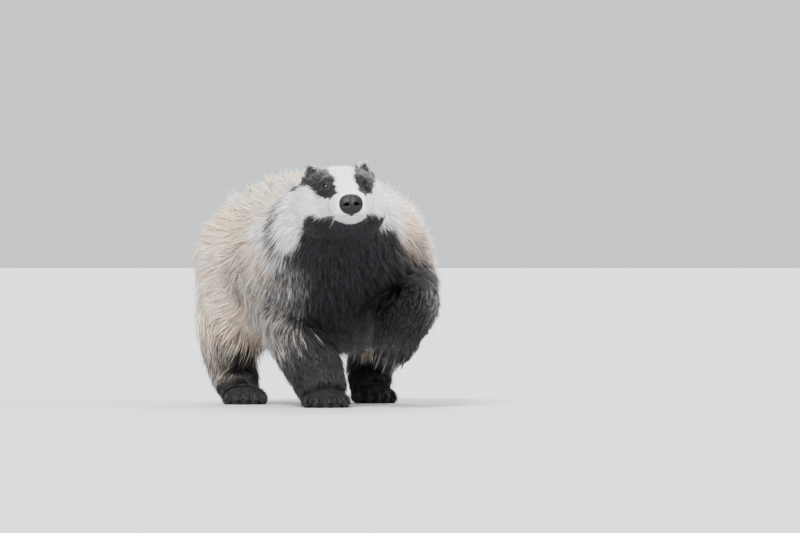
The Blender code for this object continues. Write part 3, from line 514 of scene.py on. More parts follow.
def lid_rows(sign, tree):
    """Rings of points from inside the opening, over the rolled rim and out to the socket's edge."""
    half, above, below = OPENING
    axes = HEAD @ eye_axes(sign)
    rows = [[] for _ in range(2 + len(LID_STEPS))]
    for angle in np.arange(LID_POINTS) * 2 * math.pi / LID_POINTS:
        out = Vector((math.cos(angle), math.sin(angle), 0))
        height = above if out.y > 0 else below
        x, y = half * out.x, height * out.y * abs(out.y) ** 0.2
        deep = Vector((x, y, math.sqrt((EYE_RADIUS - LID_GAP) ** 2 - x**2 - y**2)))
        rim = Vector((x, y, math.sqrt((EYE_RADIUS + LID_GAP) ** 2 - x**2 - y**2)))
        edge = under_lid(Vector((LID_REACH[0] * out.x, LID_REACH[1] * out.y, 0)), axes, tree)
        rows[0].append(deep)
        rows[1].append(rim)
        for k, part in enumerate(LID_STEPS):
            roll = LID_ROLL * math.exp(-((part - 0.10) ** 2) / 0.008)
            bulge = roll + LID_BULGE * math.sin(math.pi * part**0.7)
            if out.y > 0:
                bulge *= 1.5 - 0.9 * math.exp(-((part - 0.34) ** 2) / 0.006)
            point = rim.lerp(edge, part) + Vector((0, 0, bulge))
            # The lid lies just over the hide, and only its outer edge dips into it.
            cover = under_lid(point, axes, tree).z + LID_GAP
            point.z = cover - 4 * LID_GAP if part == 1.0 else max(point.z, cover if part > 0.4 else -1)
            rows[k + 2].append(point)
    # The middle rows are evened out, so that no dent of the hide shows through the lid.
    for _ in range(3):
        for k in range(4, 8):
            for j, point in enumerate(rows[k]):
                around = rows[k][j - 1] + rows[k][(j + 1) % LID_POINTS] + rows[k - 1][j] + rows[k + 1][j]
                rows[k][j] = Vector((point.x, point.y, max(point.z, (point.z + around.z / 4) / 2)))
    return [[axes @ point for point in row] for row in rows]


skin_tree = BVHTree.FromObject(skin, bpy.context.evaluated_depsgraph_get())
hide = bmesh.new()
hide.from_mesh(skin.data)
for sign in SIDES.values():
    rows = [[hide.verts.new(point) for point in row] for row in lid_rows(sign, skin_tree)]
    for one, two in zip(rows, rows[1:]):
        for k in range(len(one)):
            after = (k + 1) % len(one)
            hide.faces.new((one[k], two[k], two[after], one[after]))
for vert in hide.verts:
    vert.co.z = max(vert.co.z, SOLE)
hide.to_mesh(skin.data)
hide.free()
skin.data.shade_smooth()


# How the coat grows. Each part of the body is a line of stations with a thickness, the way its hair
# lies, the coat's depth and the hair's length; a place on the skin takes them from the parts near it.

# How far one part's hair runs into the next, and the depth and length of the hair on paws and ears
BLEND = 0.010
PAW_HAIR = (0.0042, 0.0110)
RAISED_PAW_HAIR = (0.0068, 0.0200)
EAR_HAIR = (0.0012, 0.0042)
# Stations along a paw and up an ear, with the radius at each, and how far down the hair of trunk and
# head turns on its sides
PAW_STATIONS = ((0.006, 0.017), (0.020, 0.012))
EAR_STATIONS = ((0.004, 0.0125), (0.010, 0.0120), (0.016, 0.0100))
TRUNK_DROP = 0.18
HEAD_DROP = 0.12


def station_part(places, radii, coat, hair, drop=0.0):
    """One part's stations; drop is how far down its hair turns on its sides for each step along it."""
    places = np.array([tuple(place) for place in places])
    along = np.gradient(places, axis=0)
    along /= np.linalg.norm(along, axis=1)[:, None]
    side = np.cross(along, UP) + 1e-6
    side /= np.linalg.norm(side, axis=1)[:, None]
    return dict(
        places=places, radii=np.array(radii), along=along, side=side, rise=np.cross(side, along),
        coat=np.array(coat), hair=np.array(hair), drop=drop,
    )


def limb_part(rows, paw=None):
    """A limb's or the tail's stations, with the paw's added."""
    rows = [list(row) for row in smooth_rows(rows, 4)]
    for row in rows:
        row[3:5] = [(row[3] + row[4]) / 2 - SKIN_SHARE * row[5]]
    if paw:
        axes = paw_axes(paw)
        hair = RAISED_PAW_HAIR if paw is PAWS["fore_left"] else PAW_HAIR
        rows += [[*(axes @ Vector((0, y, 0))), radius, *hair] for y, radius in PAW_STATIONS]
    table = np.array(rows)
    return station_part(table[:, :3], table[:, 3], table[:, 4], table[:, 5])


def trunk_part():
    """The trunk's stations, along its axis."""
    y, x, half_width, top, bottom, coat, hair = smooth_rows(TRUNK, 4).T
    places = np.stack([x, y, bottom + TRUNK_MIDDLE * (top - bottom)], axis=1)
    radii = (half_width + (top - bottom) / 2) / 2 - SKIN_SHARE * coat
    return station_part(places, radii, coat, hair, TRUNK_DROP)


def head_part():
    """The head's stations, back from the nose tip."""
    back, half_width, up, down, coat, hair = smooth_rows(SKULL, 4).T
    places = [HEAD @ (BACK * b) for b in back]
    radii = (half_width + (up + down) / 2) / 2 - SKIN_SHARE * coat
    return station_part(places, radii, coat, hair, HEAD_DROP)


def ear_part(sign):
    """An ear's stations, from its root up."""
    places = [ear_axes(sign) @ Vector((0, 0, z)) for z, _ in EAR_STATIONS]
    coat, hair = ([value] * len(places) for value in EAR_HAIR)
    return station_part(places, [radius for _, radius in EAR_STATIONS], coat, hair)


PARTS = {"trunk": trunk_part(), "head": head_part(), "tail": limb_part(LIMBS["tail"])}
for name, paw in PAWS.items():
    leg = name.replace("_", "leg_")
    PARTS[leg] = limb_part(LIMBS[leg], paw)
for side, sign in SIDES.items():
    PARTS["ear_" + side] = ear_part(sign)
PART_NAMES = list(PARTS)


def stations(points):
    """For each part, the station nearest each point, and the part's share in what grows there."""
    nearest, gaps = [], []
    for part in PARTS.values():
        away = (
            (points**2).sum(axis=1)[:, None]
            + (part["places"] ** 2).sum(axis=1)[None]
            - 2 * points @ part["places"].T
        )
        gap = np.sqrt(np.maximum(away, 0)) - part["radii"]
        nearest.append(gap.argmin(axis=1))
        gaps.append(gap.min(axis=1))
    gaps = np.array(gaps)
    shares = np.exp(-(gaps - gaps.min(axis=0)) / BLEND)
    return np.array(nearest), shares / shares.sum(axis=0)


def taken(quantity, nearest, shares):
    """A quantity of the parts, at points whose stations are known."""
    total = 0
    for k, part in enumerate(PARTS.values()):
        values = part[quantity][nearest[k]]
        total = total + values * (shares[k] if values.ndim == 1 else shares[k][:, None])
    return total


def unit(vectors):
    """Rows of vectors, each made one long."""
    return vectors / np.maximum(np.linalg.norm(vectors, axis=1), 1e-9)[:, None]


def dot(one, two):
    """The dot product of two sets of vectors, row by row."""
    return (one * two).sum(axis=1)[:, None]


def in_head(points):
    """The points in the head's own axes."""
    return (points - np.array(NOSE_TIP)) @ np.array(HEAD_TURN.to_3x3())


# Round each eye, as far out as this from its middle, the hair parts from it.
EYE_PLACES = [np.array(HEAD @ to_side(EYE_PLACE, sign)) for sign in SIDES.values()]
EYE_PARTING = 0.014


def lie(points, normals, nearest, shares):
    """The way the hair lies on the skin: back from the nose, down the flanks and limbs, off the eyes."""
    way = taken("along", nearest, shares)
    for k, part in enumerate(PARTS.values()):
        way[:, 2] -= part["drop"] * shares[k] * (1 - np.abs(normals[:, 2]))
    for eye in EYE_PLACES:
        away = points - eye
        way += 2.5 * unit(away) * np.clip(1 - np.linalg.norm(away, axis=1) / EYE_PARTING, 0, 1)[:, None]
    return unit(way - normals * dot(way, normals))


# The markings, which skin and coat share: a white face with a black stripe on each side from muzzle to
# nape, black throat, chest, belly and legs, and cream back and flanks with a darker band under pale
# tips, grizzled on shoulders and ridge and brown next to the black. Painted shade goes with them in a
# thin line down each side of the muzzle and in a dark collar behind the right cheek.

# Each kind of hair's four tones, from its root to its tip
HAIR = {
    "white": ("#DDD9D4", "#EFEDEA", "#F4F2F0", "#FAF9F8"),
    "black": ("#100F10", "#171617", "#1E1D1F", "#434246"),
    "cream": ("#D6B390", "#F7D9B9", "#D8B795", "#FFF1DE"),
    "grizzled": ("#3C3733", "#857D75", "#322E2C", "#F3EFEA"),
    "brown": ("#403731", "#8A7D71", "#635850", "#B9AEA3"),
}
# The half width of the white blaze and the lower edge of the stripe, at distances back from the nose
BLAZE = (
    (0.020, 0.0125), (0.045, 0.0132), (0.062, 0.0138), (0.100, 0.0165), (0.150, 0.0185), (0.220, 0.0220),
)
STRIPE_LOW = (
    (0.024, 0.013), (0.032, 0.0070), (0.046, 0.0085), (0.056, 0.0110), (0.064, 0.0145), (0.072, 0.0185),
    (0.082, 0.0225), (0.094, 0.0245), (0.110, 0.0235), (0.160, 0.0200), (0.240, 0.0160),
)
# The thin dark line of painted shade, for the fold between muzzle and cheek, that runs down the
# muzzle's side from the stripe: distance back, and its ends
MUZZLE_FOLD_SHADE = (0.0365, -0.0090, 0.0080)
# The height that the black of the underside comes up to, along the body
BLACK_UP_TO = (
    (-0.340, 0.205), (-0.302, 0.233), (-0.286, 0.2420), (-0.270, 0.2480), (-0.250, 0.2495),
    (-0.210, 0.234), (-0.160, 0.226), (-0.120, 0.222), (-0.060, 0.196), (0.000, 0.165),
    (0.060, 0.128), (0.100, 0.102), (0.200, 0.090), (0.300, 0.098), (0.410, 0.130),
)
# The black bib reaches higher on the side of the raised foreleg, and drops away on the other side
BIB_RISE = 0.015
BIB_DROP = 0.7
TRUNK_ROWS = np.array(TRUNK)


def linear(hex_colour):
    """An sRGB hex colour as linear light."""
    values = np.array([int(hex_colour[k : k + 2], 16) / 255 for k in (1, 3, 5)])
    return np.where(values <= 0.04045, values / 12.92, ((values + 0.055) / 1.055) ** 2.4)


PALETTE = {name: np.array([linear(tone) for tone in tones]) for name, tones in HAIR.items()}


def step(low, high, values):
    """A smooth step from 0 at low to 1 at high."""
    share = np.clip((values - low) / (high - low), 0, 1)
    return share * share * (3 - 2 * share)


def ripple(points, size, seed):
    """Smooth noise from about -1 to 1 with swells of the given size."""
    chance = np.random.default_rng(seed)
    waves = unit(chance.normal(size=(9, 3))) * (2 * math.pi / size) * chance.uniform(0.6, 1.5, (9, 1))
    return np.sin(points @ waves.T + chance.uniform(0, 2 * math.pi, 9)).sum(axis=1) / 3


def in_ears(points):
    """The points in each ear's own axes."""
    for sign in SIDES.values():
        axes = ear_axes(sign)
        yield (points - np.array(axes.translation)) @ np.array(axes.to_3x3())


def ear_rim(points):
    """1 along the edge of each ear, where its shell and its cup meet, round its top and sides."""
    share = np.zeros(len(points))
    for turned in in_ears(points):
        cup = np.linalg.norm((turned - EAR_CUP[0]) / EAR_CUP[1], axis=1)
        shell = np.linalg.norm((turned - EAR_SHELL[0]) / EAR_SHELL[1], axis=1)
        edge = np.exp(-(((cup - 1.04) / 0.13) ** 2) - ((shell - 0.98) / 0.09) ** 2)
        share = np.maximum(share, edge * step(0.002, 0.009, turned[:, 2]))
    return share


def mixed(tones, name, share, dice):
    """Tones turned towards those of the palette; a share cast with dice falls mostly one way."""
    share = np.clip(share, 0, 1)
    if dice is not None:
        share = 0.25 * share + 0.75 * step(dice - 0.1, dice + 0.1, share * 1.2 - 0.1)
    return tones + (PALETTE[name] - tones) * share[:, None, None]


def tones_at(points, shares, dice=None):
    """The four tones of a hair rooted at each point, mixed evenly or cast for each hair by its dice."""
    head = in_head(points)
    out, back, up = np.abs(head[:, 0]), head[:, 1], head[:, 2]
    x, y, z = points.T

    # Each stripe begins behind the nose, widens over eye and ear and fades out on the nape, and a thin
    # dark line of painted shade, for the fold between muzzle and cheek, runs down from it on the muzzle.
    # The stripe's edges soften as the hair gets longer.
    edge = 0.0010 + 0.02 * np.clip(back - 0.09, 0, 0.15)
    blaze = np.interp(back, *zip(*BLAZE)) + 0.0012 * ripple(points, 0.012, 1)
    low = np.interp(back, *zip(*STRIPE_LOW)) + 0.0012 * ripple(points, 0.012, 2)
    stripe = step(-1, 1, (out - blaze) / edge) * step(-1, 1, (up - low) / edge) * step(0.020, 0.026, back)
    stripe *= 1 - step(0.20, 0.29, back)
    # Painted shade: the fold where muzzle meets cheek, laid on as hair at a little under half black.
    line = step(0.0035, 0.0015, np.abs(back - MUZZLE_FOLD_SHADE[0])) * (out > 0.018)
    stripe = np.maximum(stripe, 0.45 * line * (up > MUZZLE_FOLD_SHADE[1]) * (up < MUZZLE_FOLD_SHADE[2]))
    # The white of the face ends on the nape, and further back on the sides of the neck than between
    # the stripes.
    side = step(0.0, 0.03, out - blaze)
    face = 1 - step(-0.035, 0.035, back - (0.190 + 0.030 * side))
    # The black of throat, chest and belly, with an edge that is sharp on the throat and soft behind.
    height = np.interp(y, *zip(*BLACK_UP_TO)) + 0.006 * ripple(points, 0.05, 3)
    across = x - np.interp(y, TRUNK_ROWS[:, 0], TRUNK_ROWS[:, 1])
    height += BIB_RISE * step(0.015, 0.055, across) * (1 - step(-0.02, 0.06, y))
    height -= BIB_DROP * np.clip(-across - 0.040, 0, 0.06) * (1 - step(-0.02, 0.06, y))
    soft = 0.004 + 0.016 * step(-0.24, -0.08, y)
    tail = shares[PART_NAMES.index("tail")]
    under = (1 - step(-1, 1, (z - height) / soft)) * (1 - tail)
    fore = shares[PART_NAMES.index("foreleg_right")] + shares[PART_NAMES.index("foreleg_left")]
    hind = shares[PART_NAMES.index("hindleg_right")] + shares[PART_NAMES.index("hindleg_left")]
    ears = shares[PART_NAMES.index("ear_right")] + shares[PART_NAMES.index("ear_left")]

    # The body is cream, whiter on the tail and towards the neck, and grizzled on its ridge and shoulders.
    tones = np.broadcast_to(PALETTE["cream"], (len(points), 4, 3))
    pale = 0.25 + 0.25 * ripple(points, 0.07, 4) + 0.4 * tail + 0.35 * (1 - step(-0.14, 0.02, y))
    tones = mixed(tones, "white", pale, dice)
    ridge = step(0.238, 0.278, z) * step(-0.13, -0.03, y) * (1 - tail)
    tones = mixed(tones, "grizzled", ridge * (0.45 + 0.25 * ripple(points, 0.05, 6)), dice)
    shoulder = step(-0.16, -0.07, y) * (1 - step(0.03, 0.10, y)) * step(0.02, 0.09, np.abs(x + 0.01))
    low_shoulder = 0.35 * step(0.04, 0.09, -x) * (1 - step(0.16, 0.23, z))
    shoulder *= 0.35 + low_shoulder + 0.30 * ripple(points, 0.04, 5)
    tones = mixed(tones, "grizzled", shoulder, dice)
    tones = mixed(tones, "white", face, dice)
    # Behind the right cheek a short collar of grizzled hair, darkened with black as painted shade of the
    # gap between the white ruff and the shoulder, sets the white off from the shoulder.
    collar_gap_shade = np.exp(-(((y + 0.152) / 0.014) ** 2)) * step(0.060, 0.085, -x) * step(0.195, 0.220, z)
    collar_gap_shade *= 1 - step(0.265, 0.285, z)
    tones = mixed(tones, "grizzled", collar_gap_shade, dice)
    tones = mixed(tones, "black", 0.35 * collar_gap_shade, dice)
    # Brown hair edges the black of the forequarters and runs down over the calves, where it turns black.
    fringe = np.exp(-(((z - height - 0.012) / 0.022) ** 2))
    fringe = fringe * step(-0.17, -0.10, y) * (1 - step(0.02, 0.08, y))
    tones = mixed(tones, "brown", 0.55 * fringe, dice)
    calf = (1 - step(0.105, 0.155, z)) * np.maximum(hind, step(0.12, 0.17, y))
    tones = mixed(tones, "brown", calf * (0.65 + 0.25 * ripple(points, 0.05, 8)), dice)
    tones = mixed(tones, "grizzled", calf * (0.35 + 0.25 * ripple(points, 0.03, 10)), dice)
    outer = step(0.100, 0.125, np.abs(x)) * step(0.020, 0.050, z)
    tones = mixed(tones, "black", hind * (1 - step(0.070, 0.110, z)) * (1 - 0.35 * outer), dice)
    hock = hind * outer * (1 - step(0.08, 0.14, z)) * step(0.03, 0.06, z)
    tones = mixed(tones, "grizzled", hock * 0.55, dice)
    tones = mixed(tones, "black", under * (1 - 0.8 * hind * np.maximum(step(0.08, 0.1, z), outer)), dice)
    tones = mixed(tones, "black", fore * (1 - step(0.165, 0.205, z)), dice)
    # A pale patch on the left shoulder, brown below, over the black that comes up from the foreleg.
    patch = np.exp(-(((y + 0.135) / 0.045) ** 2) - ((z - 0.243) / 0.022) ** 2) * step(0.035, 0.060, x)
    tones = mixed(tones, "cream", 1.3 * patch, dice)
    patch = np.exp(-(((y + 0.130) / 0.045) ** 2) - ((z - 0.226) / 0.020) ** 2) * step(0.035, 0.060, x)
    tones = mixed(tones, "brown", 0.7 * patch, dice)
    # Grey hairs among the black, on the right shoulder most.
    grizzle = step(0.045, 0.085, -x) * (1 - step(0.03, 0.11, y)) * step(0.055, 0.110, z) * 0.9
    grizzle = np.maximum(grizzle, step(0.085, 0.115, x) * step(0.09, 0.13, z) * 0.45)
    grizzle *= under + fore * (1 - under)
    grizzle *= step(-0.20, -0.12, y)
    tones = mixed(tones, "grizzled", grizzle * (0.8 + 0.25 * ripple(points, 0.03, 9)), dice)
    tones = mixed(tones, "black", np.maximum(stripe, ears), dice)
    return mixed(tones, "white", 0.9 * ear_rim(points), dice)


def add(tree, kind, inputs, **settings):
    """Add a node with its settings; an input is a number or colour, or an output to link."""
    made = tree.nodes.new(kind)
    for name, value in settings.items():
        setattr(made, name, value)
    for name, value in inputs.items():
        if isinstance(value, bpy.types.NodeSocket):
            tree.links.new(value, made.inputs[name])
        else:
            made.inputs[name].default_value = value
    return made


def new_material(name):
    """A material with no nodes yet, and its node tree."""
    made = bpy.data.materials.new(name)
    made.use_nodes = True
    made.node_tree.nodes.clear()
    return made, made.node_tree


def painted(mesh, colours):
    """Put a colour on each vertex."""
    layer = mesh.color_attributes.new("tone", "FLOAT_COLOR", "POINT")
    opaque = np.hstack([colours, np.ones((len(colours), 1))])
    layer.data.foreach_set("color", opaque.astype(np.float32).ravel())


def vertices_of(mesh):
    """The places of a mesh's vertices, as rows."""
    values = np.empty(len(mesh.vertices) * 3)
    mesh.vertices.foreach_get("co", values)
    return values.reshape(-1, 3)


# The hide's own look: hair roots and underwool seen between the tufts, in the coat's colours but
# darker, and dark bare skin on lips, lids and pads.

# Bare skin's colour, how far it reaches from the mouth's line and from an eye's middle, and the groove
# under the nose, as middle and radii
BARE = linear("#242122")
LIP_WIDTH = 0.0013
LID_WIDTH = 0.0060
PHILTRUM = ((0, 0.0050, -0.0150), (0.0034, 0.0080, 0.0026))


def bare_share(points):
    """How far each place is bare: 1 on the lips, the lids, in the ears' cups and on the pads."""
    slit = KDTree(len(mouth) * 4)
    for k, (one, two) in enumerate(zip(mouth, mouth[1:])):
        for j in range(4):
            slit.insert(HEAD @ one.lerp(two, j / 4), k * 4 + j)
    slit.balance()
    near_head = np.linalg.norm(points - np.array(NOSE_TIP), axis=1) < 0.12
    share = np.zeros(len(points))
    for k in np.nonzero(near_head)[0]:
        share[k] = 1 - min(1, max(0, slit.find(points[k])[2] / LIP_WIDTH - 0.6) / 0.8)
    for eye in EYE_PLACES:
        away = np.linalg.norm(points - eye, axis=1)
        share = np.maximum(share, 1 - step(LID_WIDTH, LID_WIDTH + 0.0012, away))
    away = np.linalg.norm((in_head(points) - PHILTRUM[0]) / PHILTRUM[1], axis=1)
    share = np.maximum(share, 1 - step(0.85, 1.05, away))
    for turned in in_ears(points):
        away = np.linalg.norm((turned - EAR_CUP[0]) / EAR_CUP[1], axis=1)
        share = np.maximum(share, (1 - step(1.02, 1.08, away)) * step(0.0075, 0.0060, turned[:, 2]))
    for paw in PAWS.values():
        axes = paw_axes(paw)
        turned = (points - np.array(axes.translation)) @ np.array(axes.to_3x3())
        under = step(-0.0035, -0.0060, turned[:, 2]) * (np.abs(turned[:, 0]) < 0.035)
        share = np.maximum(share, under * (turned[:, 1] > -0.022) * (turned[:, 1] < 0.04))
    return share


skin.data.calc_loop_triangles()
skin_points = vertices_of(skin.data)
nearest, shares = stations(skin_points)
bare = bare_share(skin_points)[:, None]
short = shares[PART_NAMES.index("head")][:, None]
under_tone = tones_at(skin_points, shares)[:, 1] * (0.78 + 0.12 * short)
painted(skin.data, under_tone * (1 - bare) + BARE * bare)

# Raw pelt: matt, dull and broken up at the scale of its underwool, about 1.2 mm.
pelt, tree = new_material("underwool on hide")
place = add(tree, "ShaderNodeTexCoord", {})
grain = add(
    tree, "ShaderNodeTexNoise", {"Vector": place.outputs["Object"], "Scale": 1 / 0.0012, "Detail": 3.0}
)
tone = add(tree, "ShaderNodeAttribute", {}, attribute_name="tone")
shade = add(
    tree, "ShaderNodeMapRange",
    {"Value": grain.outputs["Fac"], "From Min": 0.3, "From Max": 0.7, "To Min": 0.65, "To Max": 1.15},
)
colour = add(
    tree, "ShaderNodeVectorMath", {"Vector": tone.outputs["Color"], "Scale": shade.outputs["Result"]},
    operation="SCALE",
)
bump = add(tree, "ShaderNodeBump", {"Height": grain.outputs["Fac"], "Distance": 0.0006, "Strength": 0.8})
surface = add(
    tree, "ShaderNodeBsdfPrincipled",
    {"Base Color": colour.outputs["Vector"], "Roughness": 0.72, "Specular IOR Level": 0.25,
     "Normal": bump.outputs["Normal"]},
)
add(tree, "ShaderNodeOutputMaterial", {"Surface": surface.outputs["BSDF"]})
skin.data.materials.clear()
skin.data.materials.append(pelt)
skin.data.transform(Matrix.Translation(MOVE))
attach(skin, "root")
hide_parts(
    "torso", "neck", "head", "tail", "ear_left", "ear_right",
    "foreleg_left", "foreleg_right", "hindleg_left", "hindleg_right",
)


# The coat: solid tapered tufts, each a few hairs held together, rooted in the hide and lying along it.
# Guard hairs are longer, thinner and paler at the tip. Tufts lean towards their neighbours and so
# part into locks, as a thick winter coat does.

# How many tufts lie over each place, on the body and on the face; the share of guard hairs; how deep a
# tuft is rooted and how stiff it is; the length from which it bends twice; and its patch of the bake map
COVER = 6.4
FACE_COVER = 4.2
GUARD_SHARE = 0.16
SUNK = 0.0016
STIFFNESS = 0.45
LONG_HAIR = 0.0125
PATCH = 0.003
# Where no tuft is rooted: the nose pad's place in the head's axes, as middle and radii, and whatever
# lies past the tail's last ring, the way that the tail points
NOSE_CLEAR = ((0, 0.0098, -0.0005), (0.0158, 0.0112, 0.0133))
TAIL_POINTS = (0.12, 0.60, -0.79)
# Each piece of the coat: the part it grows on, from where to where along the body, and its most tufts
COATS = {
    "coat_neck": ("trunk", -0.40, -0.13, 8500),
    "coat_shoulders": ("trunk", -0.13, 0.00, 11700),
    "coat_flanks": ("trunk", 0.00, 0.13, 11700),
    "coat_loins": ("trunk", 0.13, 0.25, 9300),
    "coat_rump": ("trunk", 0.25, 0.60, 9500),
    "coat_tail": ("tail", -1, 1, 3800),
    "coat_foreleg_left": ("foreleg_left", -1, 1, 6500),
    "coat_foreleg_right": ("foreleg_right", -1, 1, 6500),
    "coat_hindleg_left": ("hindleg_left", -1, 1, 7000),
    "coat_hindleg_right": ("hindleg_right", -1, 1, 7000),
    "coat_muzzle": ("head", -0.500, -0.285, 14600),
    "coat_face": ("head", -0.285, -0.245, 12500),
    "coat_cheeks": ("head", -0.245, 0.100, 12800),
    "coat_ear_left": ("ear_left", -1, 1, 1600),
    "coat_ear_right": ("ear_right", -1, 1, 1600),
}

skin_tree = BVHTree.FromObject(skin, bpy.context.evaluated_depsgraph_get())
skin.data.calc_loop_triangles()
corners = np.empty(len(skin.data.loop_triangles) * 3, int)
skin.data.loop_triangles.foreach_get("vertices", corners)
corners = corners.reshape(-1, 3)
skin_normals = np.empty(len(skin.data.vertices) * 3)
skin.data.vertices.foreach_get("normal", skin_normals)
skin_normals = skin_normals.reshape(-1, 3)
centres = skin_points[corners].mean(axis=1)
facing = skin_normals[corners].mean(axis=1)
edges = skin_points[corners[:, 1:]] - skin_points[corners[:, :1]]
areas = np.linalg.norm(np.cross(edges[:, 0], edges[:, 1]), axis=1) / 2
nearest, shares = stations(centres)
owner = shares.argmax(axis=0)
lengths = taken("hair", nearest, shares)
# The belly's hair is shorter than the flanks', and the chin's is longer than the muzzle's.
lengths = lengths * (1 - 0.35 * shares[0] * step(-0.1, -0.8, facing[:, 2]))
chin = step(-0.0120, -0.0175, in_head(centres)[:, 2]) * step(0.050, 0.030, in_head(centres)[:, 1])
lengths = lengths * (1 + 0.4 * chin)
bald = bare[corners].mean(axis=(1, 2)) > 0.5
bald |= np.linalg.norm((in_head(centres) - NOSE_CLEAR[0]) / NOSE_CLEAR[1], axis=1) < 1.0
bald |= centres[:, 2] < SOLE + 0.001
bald |= dot(centres - LIMBS["tail"][-1][:3], np.array([TAIL_POINTS]))[:, 0] > 0.0


def tuft_width(length):
    """How wide a tuft of some length is, which grows less past 12 mm."""
    return 0.00032 + 0.023 * np.minimum(length, 0.012) + 0.0135 * np.maximum(length - 0.012, 0)


def on_skin(points):
    """The place on the skin nearest each point, and which way the skin faces there."""
    places, normals = np.empty_like(points), np.empty_like(points)
    for k, point in enumerate(points):
        place, normal, _, _ = skin_tree.find_nearest(Vector(point) + MOVE)
        places[k] = place - MOVE
        normals[k] = normal
    return places, normals


def combed(roots, normals, ways, length, rise, stops):
    """The tufts' paths: each leaves its root at a slant and bends down to lie along the skin."""
    slant = np.clip(1.6 * rise / length, 0.10, 0.80)[:, None]
    place = roots - normals * SUNK
    way = unit(ways * np.sqrt(1 - slant**2) + normals * slant)
    path = [place]
    for before, after in zip(stops, stops[1:]):
        place = place + way * (length * (after - before))[:, None]
        under, normal = on_skin(place)
        lift = (rise * after**0.75)[:, None] - dot(place - under, normal)
        # Past the end of the tail or a toe the skin faces the way the hair runs, and no longer bends it.
        hold = (1 - STIFFNESS) * step(0.90, 0.70, dot(way, normal))
        place = place + normal * np.where(lift > 0, lift, hold * lift)
        flat = way - normal * dot(way, normal)
        way = unit((1 - hold) * way + hold * unit(flat))
        path.append(place)
    return np.array(path)


def gathered(path, length, spread, strength, stops, chance):
    """Draw the tufts towards a few of their neighbours, more so near their tips."""
    count = path.shape[1]
    leaders = np.nonzero(chance.random(count) < spread)[0]
    if len(leaders) < 8:
        return path
    tree = KDTree(len(leaders))
    for k in leaders:
        tree.insert(path[1, k], int(k))
    tree.balance()
    leader = np.array([tree.find(place)[1] for place in path[1]])
    gap = np.linalg.norm(path[1] - path[1][leader], axis=1)
    hold = strength * np.exp(-((gap / (0.45 * length)) ** 2))
    for k, stop in enumerate(stops):
        path[k] += (path[k][leader] - path[k]) * (hold * stop**1.2)[:, None]
    return path


def tuft_mesh(name, path, normals, widths, roll, tones, spots):
    """One mesh of three-sided tapered tufts, with a colour at each vertex and a patch of the map each."""
    rings, count = path.shape[0] - 1, path.shape[1]
    taper = (0.7, 1.0, 0.62) if rings == 3 else (0.85, 0.85)
    points, colours = [], []
    for k in range(rings):
        ahead = unit(path[k + 1] - path[max(k - 1, 0)])
        side = unit(np.cross(ahead, normals))
        top = np.cross(side, ahead)
        side, top = side * np.cos(roll) + top * np.sin(roll), top * np.cos(roll) - side * np.sin(roll)
        half = (widths * taper[k] / 2)[:, None]
        points += [path[k] + side * half, path[k] + top * half * 0.9, path[k] - side * half]
        colours += [tones[:, k]] * 3
    points.append(path[-1])
    colours.append(tones[:, rings])
    each = 3 * rings + 1
    points = np.stack(points, axis=1).reshape(-1, 3)
    colours = np.stack(colours, axis=1).reshape(-1, 3)
    faces, starts, flat = [], [], []
    for k in range(rings):
        for j in range(3):
            one, two = 3 * k + j, 3 * k + (j + 1) % 3
            starts.append(len(faces))
            left, right = j / 3, (j + 1) / 3
            low, high = k / rings, (k + 1) / rings
            if k < rings - 1:
                faces += [one, one + 3, two + 3, two]
                flat += [(left, low), (left, high), (right, high), (right, low)]
            else:
                faces += [one, each - 1, two]
                flat += [(left, low), ((left + right) / 2, high), (right, low)]
    shift = np.arange(count)[:, None]
    mesh = bpy.data.meshes.new(name)
    mesh.vertices.add(len(points))
    mesh.vertices.foreach_set("co", (points + np.array(MOVE)).astype(np.float32).ravel())
    mesh.loops.add(len(faces) * count)
    mesh.loops.foreach_set("vertex_index", (np.array(faces) + shift * each).astype(np.int32).ravel())
    mesh.polygons.add(len(starts) * count)
    first_corners = np.array(starts) + shift * len(faces)
    mesh.polygons.foreach_set("loop_start", first_corners.astype(np.int32).ravel())
    mesh.update(calc_edges=True)
    mesh.shade_smooth()
    layer = mesh.uv_layers.new(name="OFBake")
    corner = spots[:, None] + PATCH * (np.array(flat)[None] - 0.5)
    layer.data.foreach_set("uv", corner.astype(np.float32).ravel())
    painted(mesh, colours)
    return mesh


def unwrapped(points, nearest, part):
    """Each root's place on the part laid flat: its turn round the part's axis and its way along it."""
    stops = PARTS[part]["places"]
    along = np.concatenate([[0], np.cumsum(np.linalg.norm(np.diff(stops, axis=0), axis=1))])
    k = nearest[PART_NAMES.index(part)]
    off = points - stops[k]
    turn = np.arctan2(dot(off, PARTS[part]["side"][k])[:, 0], dot(off, PARTS[part]["rise"][k])[:, 0])
    way = along[k] + dot(off, PARTS[part]["along"][k])[:, 0]
    spots = np.stack([turn / (2 * math.pi) + 0.5, way], axis=1)
    spots -= spots.min(axis=0)
    return 0.012 + 0.976 * spots / spots.max(axis=0)


def hair_tones(points, shares, count, chance):
    """A tuft's tones at its rings: most follow the markings, with some spread in light and in banding."""
    tones = tones_at(points, shares, chance.random(count)).copy()
    band = chance.uniform(0.1, 1.0, (count, 1))
    tones[:, 2] = tones[:, 1] + (tones[:, 2] - tones[:, 1]) * band
    light = np.clip(chance.normal(1.0, 0.13, (count, 1, 1)), 0.6, 1.4)
    warm = chance.normal(0, 0.02, (count, 1)) * np.array([1, 0, -1])
    return np.clip(tones * light * (1 + warm[:, None]), 0.002, 0.97)


